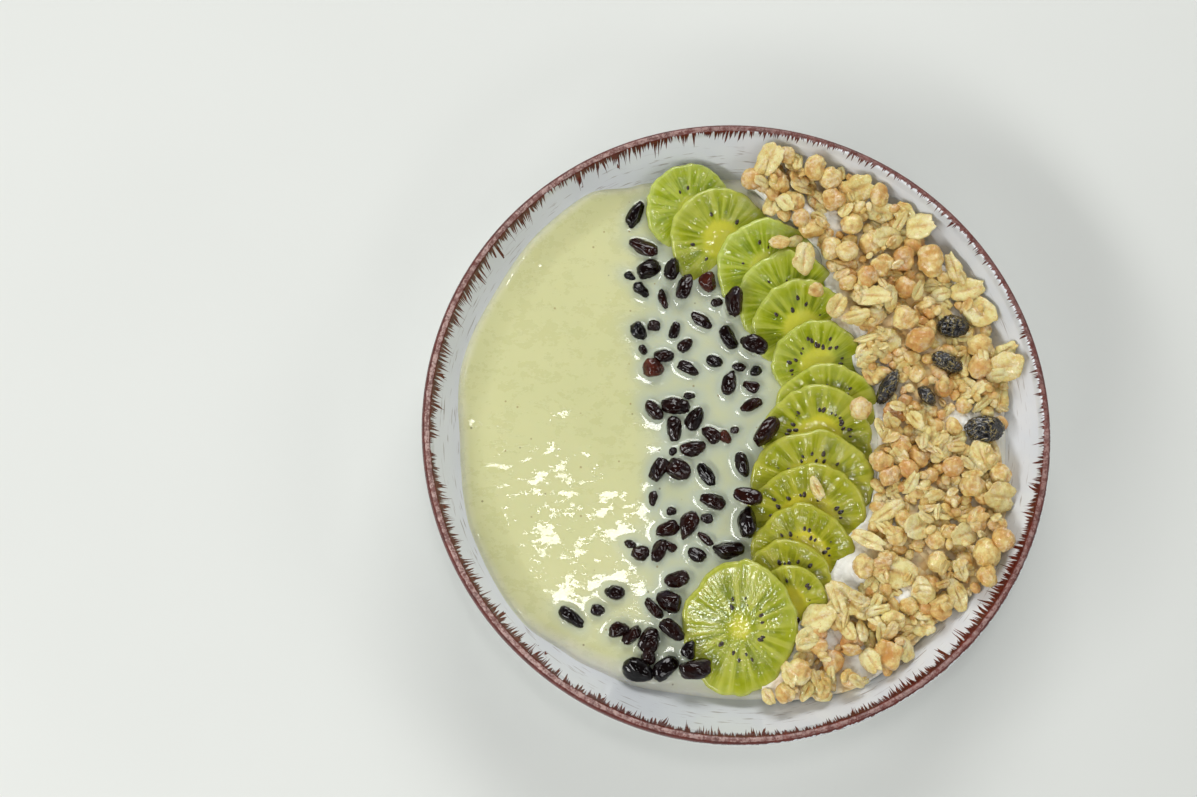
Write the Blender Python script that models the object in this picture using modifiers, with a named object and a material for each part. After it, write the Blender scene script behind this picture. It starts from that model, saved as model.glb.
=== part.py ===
"""A smoothie bowl: a shallow stoneware bowl filled with smoothie, with rows of dark berries,
kiwi slices and a bank of granola on top.

Lengths in the tables and constants are millimetres; MM turns them into Blender's metres.
+Z is up, the bowl stands on Z = 0 and its axis is the Z axis. +X is the granola side.
"""
import math
import random

import bmesh
import bpy
from mathutils import Matrix, Vector

MM = 0.001

# ---------------------------------------------------------------- driving dimensions, mm
RIM_RADIUS = 107.9          # widest radius of the bowl, a little under the crest
RIM_HEIGHT = 42.0           # crest above the table
LIP_INNER_RADIUS = 104.5    # where the inner wall meets the rounded lip
LIP_INNER_HEIGHT = 40.6
CREST_RADIUS = 106.3
FLOOR_TOP = 8.5             # inside floor of the bowl on its axis
FLOOR_UNDER = 3.5           # underside of the floor inside the foot ring
WALL_POWER = 6.0            # how suddenly the inner floor turns into the wall
WALL_STATIONS = (0.0, 45.0, 64.0, 77.0, 86.0, 93.0, 98.5, 102.2, LIP_INNER_RADIUS)
OUTER_POWER = 5.0
OUTER_TOP_HEIGHT = 36.0     # below this the outside turns in towards the foot
FOOT_OUTER_RADIUS = 62.0
FOOT_INNER_RADIUS = 56.0
GAP = 0.4                   # clearance between touching pieces
SEGMENTS = 48               # facets round the bowl and the smoothie

SMOOTHIE_LEVEL = 28.5
# edge of the smoothie on the wall: (bearing in degrees, radius)
SMOOTHIE_EDGE = ((0, 94.8), (60, 94.6), (98, 92.0), (111, 95.0), (121, 98.5), (132, 98.0),
                 (150, 96.5), (165, 97.2), (183, 94.8), (203, 97.2), (222, 98.5), (233, 95.8),
                 (243, 94.3), (262, 91.2), (285, 92.0), (315, 94.6), (360, 94.8))

KIWI_THICKNESS = 2.8
KIWI_SIDES = 20
# one row per slice, top of the row first: x, y, half width, half height, tilt, downhill bearing
KIWIS = ((-14.5, 80.0, 16.0, 16.0, 18, -50), (-4.0, 69.0, 18.5, 18.5, 18, -50),
         (12.0, 58.0, 18.0, 18.0, 18, -58), (20.0, 46.5, 18.0, 18.0, 18, -65),
         (24.0, 36.5, 17.5, 17.5, 18, -72), (29.5, 23.5, 16.0, 16.0, 18, -80),
         (32.5, 8.0, 17.5, 16.0, 18, -88), (29.0, -2.5, 19.5, 18.5, 18, -93),
         (26.5, -19.0, 21.0, 19.5, 18, -96), (24.5, -30.5, 21.0, 18.5, 18, -98),
         (23.0, -44.0, 18.5, 18.0, 18, -101), (17.5, -53.0, 15.5, 15.0, 18, -104),
         (18.0, -59.5, 12.5, 12.5, 18, -110), (0.5, -68.5, 19.5, 23.0, 13, -135))

# berries: x, y, length, width, turn; the larger ones lie loose in sockets in the smoothie
BERRIES = ((-34.0, 78.0, 9.5, 4.5, 63), (-31.0, 66.0, 10.5, 5.0, -24), (-29.0, 58.0, 9.0, 6.0, 25),
           (-21.5, 57.0, 8.0, 5.5, 75), (-17.0, 51.0, 9.0, 5.0, 70), (0.0, 45.0, 10.0, 6.5, 90),
           (-28.0, 22.5, 7.5, 6.5, 0), (-1.5, 33.5, 8.0, 5.0, -60), (7.0, 30.0, 9.0, 6.0, -28),
           (-1.5, 17.0, 9.0, 5.5, 80), (-20.5, 9.0, 9.5, 6.0, -12), (-21.0, 1.0, 8.0, 5.5, 90),
           (-14.0, 4.5, 8.5, 5.5, 60), (10.5, -1.0, 11.0, 6.5, 50), (-15.0, -6.0, 9.5, 5.5, 3),
           (2.5, -11.5, 8.0, 5.0, -70), (-26.5, -13.5, 8.5, 5.5, 65), (-19.5, -13.0, 8.5, 7.0, -35),
           (-8.0, -24.5, 8.5, 5.0, -12), (3.5, -23.5, 9.5, 5.5, -12), (3.5, -32.0, 9.8, 6.5, 85),
           (-16.5, -33.0, 9.5, 6.0, 75), (-24.0, -34.5, 8.5, 5.0, 25), (-26.5, -41.5, 7.5, 5.0, 65),
           (-3.0, -41.5, 10.5, 6.0, 0), (-20.5, -51.5, 8.0, 5.5, 12), (-23.5, -59.0, 8.0, 7.0, -30),
           (-56.5, -64.5, 9.0, 5.0, -42), (-30.5, -72.5, 9.0, 7.5, 50), (-22.5, -69.0, 9.5, 5.5, -35),
           (-34.0, -82.5, 10.0, 7.0, -25), (-24.5, -81.5, 9.5, 6.0, 40), (-15.0, -82.0, 11.0, 6.5, 10))
SMALL_BERRIES = (
    (-36.0, 55.5, 4.0, 3.0, -30), (-32.0, 50.5, 6.0, 4.0, -50), (-24.5, 47.5, 7.0, 3.0, -75),
    (-8.5, 53.0, 6.5, 5.5, -60), (-5.3, 46.2, 4.0, 3.5, 0), (-11.0, 39.5, 8.0, 4.0, -33),
    (-33.0, 35.5, 6.5, 5.5, -50), (-28.0, 37.5, 4.5, 4.0, 0), (-20.5, 36.0, 5.5, 3.5, 75),
    (-17.0, 30.5, 6.0, 4.5, 35), (-31.5, 29.0, 3.5, 3.0, -40), (-24.5, 27.0, 6.5, 4.5, 0),
    (-16.0, 22.5, 7.5, 4.0, -22), (-6.5, 25.0, 5.5, 4.0, -20), (2.0, 23.0, 4.5, 3.0, -10),
    (8.0, 21.5, 4.0, 3.5, 0), (6.0, 16.0, 5.5, 4.0, -25), (6.0, 9.5, 7.5, 4.0, 25),
    (-15.5, 12.5, 4.0, 2.5, 0), (-28.0, 7.5, 7.5, 5.0, -50), (-8.0, -1.0, 7.0, 5.0, -40),
    (-3.5, -2.0, 5.0, 4.0, -50), (0.0, 0.5, 3.0, 2.5, 0), (-21.5, -7.0, 3.0, 2.5, 40),
    (-10.0, -15.0, 8.5, 4.5, -55), (-28.5, -23.5, 5.0, 3.0, 85), (-22.0, -28.0, 3.5, 3.0, 0),
    (-10.0, -30.5, 4.0, 3.5, 0), (-23.0, -40.0, 5.0, 3.0, -35), (-36.5, -39.5, 4.0, 3.0, -30),
    (-33.0, -42.5, 6.0, 5.0, -10), (-10.5, -37.5, 6.0, 3.0, -40), (-13.5, -43.0, 6.5, 4.5, -28),
    (-28.5, -61.5, 8.0, 4.0, -55), (-47.5, -62.0, 5.0, 4.0, -10), (-42.0, -56.0, 6.5, 5.0, -10),
    (-41.0, -68.5, 7.0, 4.5, 28), (-36.0, -70.5, 7.5, 4.5, 38), (-30.5, -78.0, 5.0, 5.0, 90),
    (-17.0, -76.0, 6.0, 5.0, -70))
BERRY_RISE = 0.6            # height of a berry's middle above the smoothie
BERRY_SEGMENTS, BERRY_RINGS = 7, 4
SMALL_SEGMENTS, SMALL_RINGS = 5, 3

# raisins and loose grains: x, y, length, width, turn
RAISINS = ((76.5, 36.5, 12.0, 8.5, 0), (74.0, 23.5, 12.0, 6.5, -25), (53.0, 14.5, 14.0, 6.0, 60),
           (66.5, 11.5, 8.5, 5.0, -50), (86.5, 0.0, 14.5, 9.5, 0))
RAISIN_HEIGHT = 5.0
GRAINS = ((16.0, 66.5, 8.5, 6.0, 15), (24.5, 59.5, 11.5, 8.0, 85), (28.5, 49.0, 6.5, 5.5, 0),
          (27.5, -21.0, 9.0, 4.0, -60), (43.0, 6.5, 9.0, 8.0, 0))
GRAIN_HEIGHTS = (4.0, 3.2, 4.0, 2.0, 6.5)

# granola: a bank with its inner and outer edge given as (bearing in degrees, radius)
BANK_INNER = ((-85, 87.0), (-78, 80.0), (-70, 66.0), (-61, 60.0), (-44, 53.0), (-34, 54.0),
              (-22, 52.0), (-6, 50.0), (16, 49.0), (28, 48.0), (36, 50.0), (49, 51.0),
              (57, 61.0), (66, 73.0), (76, 79.0), (86, 88.0))
BANK_OUTER = ((-85, 92.0), (-77, 94.5), (-66, 97.0), (-46, 95.0), (-30, 98.5), (-18, 97.5),
              (-3, 92.5), (12, 97.5), (20, 96.0), (32, 98.0), (43, 94.5), (52, 97.0),
              (62, 99.5), (77, 99.5), (86, 93.5))
BANK_EDGE = 3.2             # height of the bank over the smoothie at its inner edge
BANK_CROWN = 1.2            # rise from there to the middle of the bank
BANK_STATIONS = 20
RAISED_EDGE = 32.6          # pieces keep beside slices that stand higher than this
PIECE_LIMIT = 102.4         # no granola piece reaches farther out than this
PUFF_SINK, FLAKE_SINK = 1.9, 1.8   # how far a piece is pressed into the granola under it
PUFF_PILE, FLAKE_PILE = 1.5, 3.2   # the most that pieces under it may raise a piece
FILL_SIZES = (7.0,)
FILL_TRIES = 300
# oat flakes: x, y, length, width, turn
FLAKES = (
    (13, 96.5, 12, 9, 60), (23, 88.5, 8.5, 5.5, 90), (47, 90, 12, 9, 20), (52, 77.5, 11.5, 6.5, -10),
    (62, 79, 9, 6.5, -40), (66, 72, 10, 9, 0), (54.5, 68, 12.5, 8, 20), (78, 57.5, 12, 5, -70),
    (71.5, 51.5, 12.5, 4, 5), (82, 49.5, 12, 8, 10), (86, 41.5, 12, 10, -50), (47.5, 46.5, 14, 7.5, -10),
    (32.5, 39, 9, 6.5, 60), (38, 35.5, 10, 5, 10), (53.5, 31, 10.5, 8.5, 40), (46.5, 29.5, 12, 5, 45),
    (77, 29.5, 10, 6.5, -25), (96.5, 28, 8.5, 5.5, 30), (94, 21.5, 12, 10, 0), (43.5, 23.5, 10, 5, 35),
    (52, 20.5, 12.5, 7.5, 60), (61.5, 16.5, 10.5, 8.5, 40), (66, 22.5, 11, 7.5, -30),
    (81, 14.5, 10.5, 6.5, -50), (86.5, 9.5, 9, 3.5, 40), (93, 11, 9, 5.5, 80), (50.5, -0.5, 8.5, 5, -60),
    (64.5, 1, 9.5, 6, 20), (71, -7, 11, 7, 60), (85, -9.5, 12, 9, -70), (90.5, -24, 11.5, 9.5, 0),
    (66, -21.5, 14, 4, -20), (50.5, -28.5, 15, 5.5, 35), (69.5, -29, 14, 5, -10), (61.5, -34.5, 11.5, 9.5, 30),
    (77.5, -37, 10.5, 7.5, 20), (53.5, -49.5, 15.5, 11.5, -20), (32.5, -53, 15, 8, -45),
    (24.5, -59, 12, 9.5, 20), (62.5, -56.5, 10, 7, -60), (75, -57.5, 11.5, 6, -70), (34, -62.5, 13.5, 4, -70),
    (63, -67.5, 9, 7.5, 0), (44, -79.5, 10, 6, -60), (27.5, -87, 7.5, 6, -60), (21.5, -69.5, 9, 7, 45),
    (42.5, -37, 13.5, 5.5, -25), (56, -76, 9, 7, -50), (22.5, -89.5, 8, 4, 60), (14.5, -76.5, 9, 4.5, -70))
FLAKE_HEIGHT = 2.6
# round puffs: x, y, diameter
PUFFS = (
    (7.5, 89.5, 9), (19.5, 100, 7), (17, 88.5, 8.5), (22, 81.5, 9), (29, 93.5, 9.5), (34.5, 89, 9),
    (35.5, 82, 9), (51.5, 83, 8.5), (28, 71.5, 9), (23.5, 74.5, 7), (44.5, 77.5, 8.5), (41.5, 73, 8.5),
    (34.5, 64.5, 8.5), (39.5, 63, 8.5), (49, 65.5, 10), (52, 58, 8.5), (47, 54, 8.5), (64.5, 66.5, 8.5),
    (59.5, 61, 9), (69, 59.5, 12), (60, 50, 9), (76.5, 44, 8.5), (49, 40, 8.5), (60, 39, 10),
    (64, 31.5, 10.5), (85.5, 29.5, 10), (85.5, 22, 9), (55, 5.5, 8.5), (61, 9.5, 7.5), (63, 6.5, 8.5),
    (72.5, 6.5, 8.5), (72.5, 14.5, 7.5), (45, -10.5, 8.5), (63, -9.5, 9), (66.5, -16.5, 7), (52.5, -16.5, 9),
    (81, -19.5, 10.5), (91.5, -16, 9), (74.5, -25, 7), (82.5, -32.5, 9), (90.5, -38.5, 9.5), (72.5, -37, 8),
    (67.5, -38.5, 7.5), (39.5, -44.5, 9), (77.5, -46, 7.5), (84.5, -44, 10.5), (84, -51.5, 8), (66, -54, 7.5),
    (69, -62.5, 8), (58, -61, 7), (41, -62.5, 8), (52, -66, 9.5), (38.5, -72.5, 9), (31.5, -80, 9),
    (26.5, -75, 7), (32.5, -66.5, 7), (19, -79.5, 9.5), (14, -86, 8), (37, -86, 7.5), (40.5, 85.5, 8),
    (40, 52, 7), (53, 48.5, 7.5), (68.5, 42, 6.5), (43, 40, 7.5), (70, 31.5, 8.5), (86.5, 14.5, 7),
    (79.5, 8.5, 6.5), (56.5, -6, 8.5), (79, -7.5, 6), (59, -14, 7.5), (75, -13.5, 8.5), (85, -24, 6),
    (57.5, -32, 8), (54.5, -37.5, 7.5), (89, -33.5, 7.5), (68, -45.5, 8), (46, -67.5, 5.5), (25.5, -66, 6),
    (50, -77.5, 9))


# ---------------------------------------------------------------- shapes worked out from the sizes
def along(table, bearing):
    """The value of a (bearing, value) table at a bearing, eased between its rows."""
    if bearing <= table[0][0]:
        return table[0][1]
    for (start, low), (end, high) in zip(table, table[1:]):
        if bearing <= end:
            share = (bearing - start) / (end - start)
            share = share * share * (3 - 2 * share)
            return low + (high - low) * share
    return table[-1][1]


def bearing_of(x, y):
    return math.degrees(math.atan2(y, x))


def wall_height(radius):
    """Height of the bowl's inner surface at a radius, straight between the wall's stations."""
    def curve(station):
        share = station / LIP_INNER_RADIUS
        return FLOOR_TOP + (LIP_INNER_HEIGHT - FLOOR_TOP) * share ** WALL_POWER

    radius = min(radius, LIP_INNER_RADIUS)
    for low, high in zip(WALL_STATIONS, WALL_STATIONS[1:]):
        if radius <= high:
            share = (radius - low) / (high - low)
            return curve(low) * (1 - share) + curve(high) * share


def wall_slope(radius):
    return (wall_height(radius) - wall_height(radius - 2.0)) / 2.0


def clear_wall_height(radius):
    """The lowest height that keeps GAP to the inner wall, measured square to it."""
    return wall_height(radius) + GAP * math.hypot(1.0, wall_slope(radius))


def outside_height(radius):
    share = radius / RIM_RADIUS
    return FLOOR_UNDER + (OUTER_TOP_HEIGHT - FLOOR_UNDER) * share ** OUTER_POWER


def bowl_profile():
    """The bowl's section from its inner floor up over the lip and down the outside to its foot."""
    inside = [(radius, wall_height(radius)) for radius in WALL_STATIONS]
    lip = [(105.0, 41.5), (CREST_RADIUS, RIM_HEIGHT), (107.4, 41.0), (RIM_RADIUS, 39.0),
           (RIM_RADIUS, OUTER_TOP_HEIGHT)]
    outside = [(r, outside_height(r)) for r in (103.8, 95.0, 80.0, FOOT_OUTER_RADIUS)]
    foot = [(FOOT_OUTER_RADIUS - 0.8, 0.0), (FOOT_INNER_RADIUS + 0.8, 0.0),
            (FOOT_INNER_RADIUS - 0.6, FLOOR_UNDER)]
    return inside + lip + outside + foot + [(0.0, FLOOR_UNDER)]


def smoothie_edge(x, y):
    return along(SMOOTHIE_EDGE, bearing_of(x, y) % 360)


def smoothie_height(x, y):
    """Top of the smoothie: level in the middle, drawn up or down to its edge on the wall."""
    radius = math.hypot(x, y)
    edge = smoothie_edge(x, y)
    share = max(0.0, 1.0 - (edge - radius) / 12.0)
    share = share * share * (3 - 2 * share)
    open_side = min(1.0, max(0.0, -x / 45.0))
    swell = 0.45 * open_side * math.sin(x * 0.09 + 1.0) * math.cos(y * 0.07 - 0.6)
    edge_height = clear_wall_height(edge) + 0.7
    return (SMOOTHIE_LEVEL + swell) * (1 - share) + edge_height * share


def bank_height(x, y):
    """Top of the granola's core, or None beside it."""
    bearing, radius = bearing_of(x, y), math.hypot(x, y)
    inner, outer = along(BANK_INNER, bearing), along(BANK_OUTER, bearing)
    if not BANK_INNER[0][0] <= bearing <= BANK_INNER[-1][0] or not inner <= radius <= outer:
        return None
    across = (radius - inner) / (outer - inner)
    ends = min(1.0, (BANK_INNER[-1][0] + 9 - abs(bearing)) / 12.0)
    crown = (BANK_EDGE + BANK_CROWN * math.sin(math.pi * min(1.0, across * 1.3))) * ends
    return max(SMOOTHIE_LEVEL + GAP + crown, clear_wall_height(radius) + 2.6)


class Slice:
    """A tilted kiwi slice: its middle, its axes in its own plane and its heights."""

    def __init__(self, x, y, half_width, half_height, tilt, bearing):
        self.centre = Vector((x, y, SMOOTHIE_LEVEL + 0.6))
        self.half = (half_width, half_height)
        lean = Vector((math.cos(math.radians(bearing)), math.sin(math.radians(bearing)), 0.0))
        self.normal = (Vector((0, 0, math.cos(math.radians(tilt)))) + lean * math.sin(math.radians(tilt)))
        self.turn = Vector((0, 0, 1)).rotation_difference(self.normal)
        self.half_depth = KIWI_THICKNESS / 2 / self.normal.z

    def height(self, x, y):
        """Height of the slice's middle plane over a point, or None beside the slice."""
        away_x, away_y = x - self.centre.x, y - self.centre.y
        rise = -(self.normal.x * away_x + self.normal.y * away_y) / self.normal.z
        flat = self.turn.inverted() @ Vector((away_x, away_y, rise))
        if (flat.x / (self.half[0] + 1.0)) ** 2 + (flat.y / (self.half[1] + 1.0)) ** 2 > 1:
            return None
        return self.centre.z + rise

    def lift_over(self, others):
        """Raise this slice until it lies on the slices below it, GAP clear."""
        steps = [i / 12.0 for i in range(-12, 13)]
        raise_by = 0.0
        for other in others:
            for u in steps:
                for v in steps:
                    x, y = self.centre.x + u * self.half[0], self.centre.y + v * self.half[1]
                    mine, theirs = self.height(x, y), other.height(x, y)
                    if mine is not None and theirs is not None:
                        need = theirs + other.half_depth + self.half_depth + GAP - mine
                        raise_by = max(raise_by, need)
        self.centre.z += raise_by


def kiwi_slices():
    slices = []
    for row in KIWIS:
        piece = Slice(*row)
        piece.lift_over(slices[-3:])
        slices.append(piece)
    return slices


class Lump:
    """A lying topping: an ellipsoid with a turn, sheared to lean with the ground under it."""

    def __init__(self, x, y, length, width, height, turn):
        self.centre = Vector((x, y, 0.0))
        self.half = (length / 2, width / 2, height / 2)
        self.turn = math.radians(turn)
        self.slope = (0.0, 0.0)

    def share(self, x, y, grow=0.0):
        """Squared distance from the middle, 1 on the outline grown by a margin."""
        away_x, away_y = x - self.centre.x, y - self.centre.y
        along_it = away_x * math.cos(self.turn) + away_y * math.sin(self.turn)
        across_it = away_y * math.cos(self.turn) - away_x * math.sin(self.turn)
        return (along_it / (self.half[0] + grow)) ** 2 + (across_it / (self.half[1] + grow)) ** 2

    def lean(self, x, y):
        return self.slope[0] * (x - self.centre.x) + self.slope[1] * (y - self.centre.y)

    def top(self, x, y):
        share = self.share(x, y)
        if share >= 1:
            return None
        return self.centre.z + self.lean(x, y) + self.half[2] * math.sqrt(1 - share)

    def spots(self):
        """Points over the lump's outline, each with the depth of its underside there."""
        for ring in (0.0, 0.4, 0.7, 0.9, 1.0):
            for step in range(12 if ring else 1):
                angle = math.tau * step / 12
                u, v = ring * self.half[0] * math.cos(angle), ring * self.half[1] * math.sin(angle)
                x = self.centre.x + u * math.cos(self.turn) - v * math.sin(self.turn)
                y = self.centre.y + u * math.sin(self.turn) + v * math.cos(self.turn)
                yield x, y, self.half[2] * math.sqrt(1 - ring * ring)

    def lie_along(self, ground, steepest=0.6):
        """Lean with the ground from one side of the lump to the other."""
        reach = 0.8 * self.half[1]
        slope_x = (ground(self.centre.x + reach, self.centre.y) - ground(self.centre.x - reach, self.centre.y))
        slope_y = (ground(self.centre.x, self.centre.y + reach) - ground(self.centre.x, self.centre.y - reach))
        size = math.hypot(slope_x, slope_y) / (2 * reach)
        scale = min(1.0, steepest / size) / (2 * reach) if size else 0.0
        self.slope = (slope_x * scale, slope_y * scale)

    def settle(self, ground):
        """Lower the lump until it touches the ground function anywhere under it."""
        self.centre.z = max(ground(x, y) + depth - self.lean(x, y) for x, y, depth in self.spots())


def slice_tops(x, y, slices):
    middles = [(piece, piece.height(x, y)) for piece in slices]
    return [middle + piece.half_depth for piece, middle in middles if middle is not None]


def base_height(x, y, slices):
    """The highest thing under a topping that isn't granola: smoothie, bowl wall or kiwi."""
    heights = [smoothie_height(x, y), clear_wall_height(math.hypot(x, y))]
    return max(heights + slice_tops(x, y, slices)) + GAP


def moved_clear(x, y, reach, slices):
    """A granola piece's middle, moved out beside the slices or in from the lip."""
    for _ in range(10):
        inner_side = 1.0 - 0.85 * reach / math.hypot(x, y)
        beside = slice_tops(x * inner_side, y * inner_side, slices)
        if slice_tops(x, y, slices) or max(beside, default=0.0) > RAISED_EDGE:
            x, y = x * 1.01, y * 1.01
    scale = min(1.0, (PIECE_LIMIT - reach) / math.hypot(x, y))
    return x * scale, y * scale


def granola_pieces(slices, toppings):
    """Puffs, flakes and small filling pieces, each settled on the bank and on those before it."""
    draw = random.Random(7)
    pieces = []

    def add(lump, sink, pile):
        """Settle a piece clear of dish, smoothie and slices, pressed a little into the granola."""
        if any(topping.share(lump.centre.x, lump.centre.y, lump.half[1]) < 1 for topping in toppings):
            return
        reach = lump.half[0] + 8
        near = [piece for piece in pieces if (piece.centre - lump.centre).xy.length < reach]

        def bank(x, y):
            core = bank_height(x, y)
            return max(base_height(x, y, slices), core - sink if core is not None else 0.0)

        def ground(x, y):
            tops = [piece.top(x, y) for piece in near]
            return max([bank(x, y)] + [top - sink for top in tops if top is not None])

        if sink == FLAKE_SINK:
            lump.lie_along(ground)
        lump.settle(bank)
        highest = lump.centre.z + pile
        lump.settle(ground)
        lump.centre.z = min(lump.centre.z, highest)
        pieces.append(lump)

    for x, y, size in PUFFS:
        x, y = moved_clear(x, y, size / 2, slices)
        add(Lump(x, y, size * 1.06, size * 0.97, size * 0.88, draw.uniform(0, 180)),
            PUFF_SINK, PUFF_PILE)
    for x, y, length, width, turn in FLAKES:
        x, y = moved_clear(x, y, length / 2, slices)
        add(Lump(x, y, length, width, FLAKE_HEIGHT, turn), FLAKE_SINK, FLAKE_PILE)
    for size in FILL_SIZES:
        for _ in range(FILL_TRIES):
            bearing, radius = math.radians(draw.uniform(-80, 80)), draw.uniform(50.0, 100.0)
            x, y = radius * math.cos(bearing), radius * math.sin(bearing)
            lump = Lump(x, y, size * 1.1, size * 0.9, size * 0.7, draw.uniform(0, 180))
            if bank_height(x, y) is not None and all(piece.share(x, y, size / 2 - 0.6) > 1 for piece in pieces):
                add(lump, PUFF_SINK, PUFF_PILE)
    return pieces


def lying_on(row, height, ground):
    x, y, length, width, turn = row
    lump = Lump(x, y, length, width, height, turn)
    lump.lie_along(ground)
    lump.settle(ground)
    return lump


def berry_lumps(rows, slices):
    """Berries lie half sunk in the smoothie, raised where they would meet a kiwi slice."""
    def on_slices(x, y):
        return max([height for height in slice_tops(x, y, slices)], default=-1000.0) + GAP

    lumps = []
    for x, y, length, width, turn in rows:
        lump = Lump(x, y, length, width, width * 0.92, turn)
        lump.settle(on_slices)
        lump.centre.z = max(lump.centre.z, SMOOTHIE_LEVEL + BERRY_RISE)
        lumps.append(lump)
    return lumps


# ---------------------------------------------------------------- building
def linear(red, green, blue):
    """A screen colour, 0 to 255, as Blender's linear colour."""
    def channel(value):
        value /= 255.0
        return value / 12.92 if value <= 0.04045 else ((value + 0.055) / 1.055) ** 2.4
    return (channel(red), channel(green), channel(blue), 1.0)


def make_material(name, colour, roughness):
    material = bpy.data.materials.new(name)
    material.use_nodes = True
    shader = material.node_tree.nodes["Principled BSDF"]
    shader.inputs["Base Color"].default_value = linear(*colour)
    shader.inputs["Roughness"].default_value = roughness
    shader.inputs["Metallic"].default_value = 0.0
    return material


def make_collection(name):
    collection = bpy.data.collections.new(name)
    bpy.context.scene.collection.children.link(collection)
    return collection


def place(name, mesh, collection, material=None):
    obj = bpy.data.objects.new(name, mesh)
    collection.objects.link(obj)
    if material is not None:
        mesh.materials.append(material)
    return obj


def as_cutter(obj):
    obj.hide_render = True
    obj.display_type = "WIRE"


def mesh_from(bm, name):
    mesh = bpy.data.meshes.new(name)
    bm.to_mesh(mesh)
    bm.free()
    return mesh


def evaluated_mesh(obj):
    """The object's mesh with its modifiers applied."""
    bpy.context.view_layer.update()
    return bpy.data.meshes.new_from_object(obj.evaluated_get(bpy.context.evaluated_depsgraph_get()))


def apply_modifiers(obj):
    mesh = evaluated_mesh(obj)
    old = obj.data
    obj.modifiers.clear()
    obj.data = mesh
    bpy.data.meshes.remove(old)


def turned(name, profile, collection, material=None):
    """A closed turned body from a section that starts and ends on the axis."""
    bm = bmesh.new()
    verts = [bm.verts.new((radius * MM, 0.0, height * MM)) for radius, height in profile]
    for first, second in zip(verts, verts[1:]):
        bm.edges.new((first, second))
    obj = place(name, mesh_from(bm, name), collection, material)
    screw = obj.modifiers.new("Turn", "SCREW")
    screw.steps = SEGMENTS
    screw.render_steps = SEGMENTS
    screw.use_merge_vertices = True
    screw.merge_threshold = 0.00001
    screw.use_smooth_shade = True
    return obj


def place_lump(name, lump, segments, rings, collection, material=None, grow=0.0):
    """An ellipsoid with few sides, sheared by its lean; one without a ring of vertices round
    its middle is made wider, to fill the size it stands for."""
    fuller = 1.15 if rings == 3 else 1.0
    bm = bmesh.new()
    bmesh.ops.create_uvsphere(bm, u_segments=segments, v_segments=rings, radius=1.0)
    along_it, across_it, up = lump.half
    size = Matrix.Diagonal((along_it * fuller + grow, across_it * fuller + grow, up + grow, 1.0))
    bmesh.ops.transform(bm, matrix=Matrix.Rotation(lump.turn, 4, "Z") @ size, verts=bm.verts)
    for vert in bm.verts:
        vert.co.z += vert.co.x * lump.slope[0] + vert.co.y * lump.slope[1]
        vert.co *= MM
    obj = place(name, mesh_from(bm, name), collection, material)
    obj.location = lump.centre * MM
    return obj


def place_slice(name, piece, collection, material=None, grow=0.0):
    """A kiwi slice: a low drum with an uneven oval outline."""
    bm = bmesh.new()
    bmesh.ops.create_cone(bm, cap_ends=True, segments=KIWI_SIDES, radius1=1.0, radius2=1.0, depth=1.0)
    for vert in bm.verts:
        angle = math.atan2(vert.co.y, vert.co.x)
        uneven = 1.0 + 0.018 * math.sin(2 * angle + piece.centre.x) + 0.012 * math.sin(5 * angle)
        vert.co.x *= (piece.half[0] * uneven + grow) * MM
        vert.co.y *= (piece.half[1] * uneven + grow) * MM
        vert.co.z *= (KIWI_THICKNESS + 2 * grow) * MM
    obj = place(name, mesh_from(bm, name), collection, material)
    obj.location = piece.centre * MM
    obj.rotation_mode = "QUATERNION"
    obj.rotation_quaternion = piece.turn
    return obj


def boolean(obj, operation, collection, solver="EXACT"):
    """Cut or join a whole collection with an object, for good."""
    modifier = obj.modifiers.new(operation.title(), "BOOLEAN")
    modifier.operation = operation
    modifier.operand_type = "COLLECTION"
    modifier.collection = collection
    modifier.solver = solver
    apply_modifiers(obj)


def keep_largest(obj):
    """Drop loose scraps and filled hollows: only the piece with the most faces stays."""
    bm = bmesh.new()
    bm.from_mesh(obj.data)
    bm.faces.ensure_lookup_table()
    unseen = set(bm.faces)
    groups = []
    while unseen:
        group, queue = [], [unseen.pop()]
        while queue:
            face = queue.pop()
            group.append(face)
            for edge in face.edges:
                for neighbour in edge.link_faces:
                    if neighbour in unseen:
                        unseen.discard(neighbour)
                        queue.append(neighbour)
        groups.append(group)
    groups.sort(key=len, reverse=True)
    for group in groups[1:]:
        bmesh.ops.delete(bm, geom=group, context="FACES")
    loose = [vert for vert in bm.verts if not vert.link_faces]
    bmesh.ops.delete(bm, geom=loose, context="VERTS")
    bm.to_mesh(obj.data)
    bm.free()


def empty_collection(collection):
    for obj in list(collection.objects):
        bpy.data.objects.remove(obj)


def build_bowl(parts):
    material = make_material("glaze", (212, 214, 216), 0.18)
    return turned("bowl", bowl_profile(), parts, material)


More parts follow.
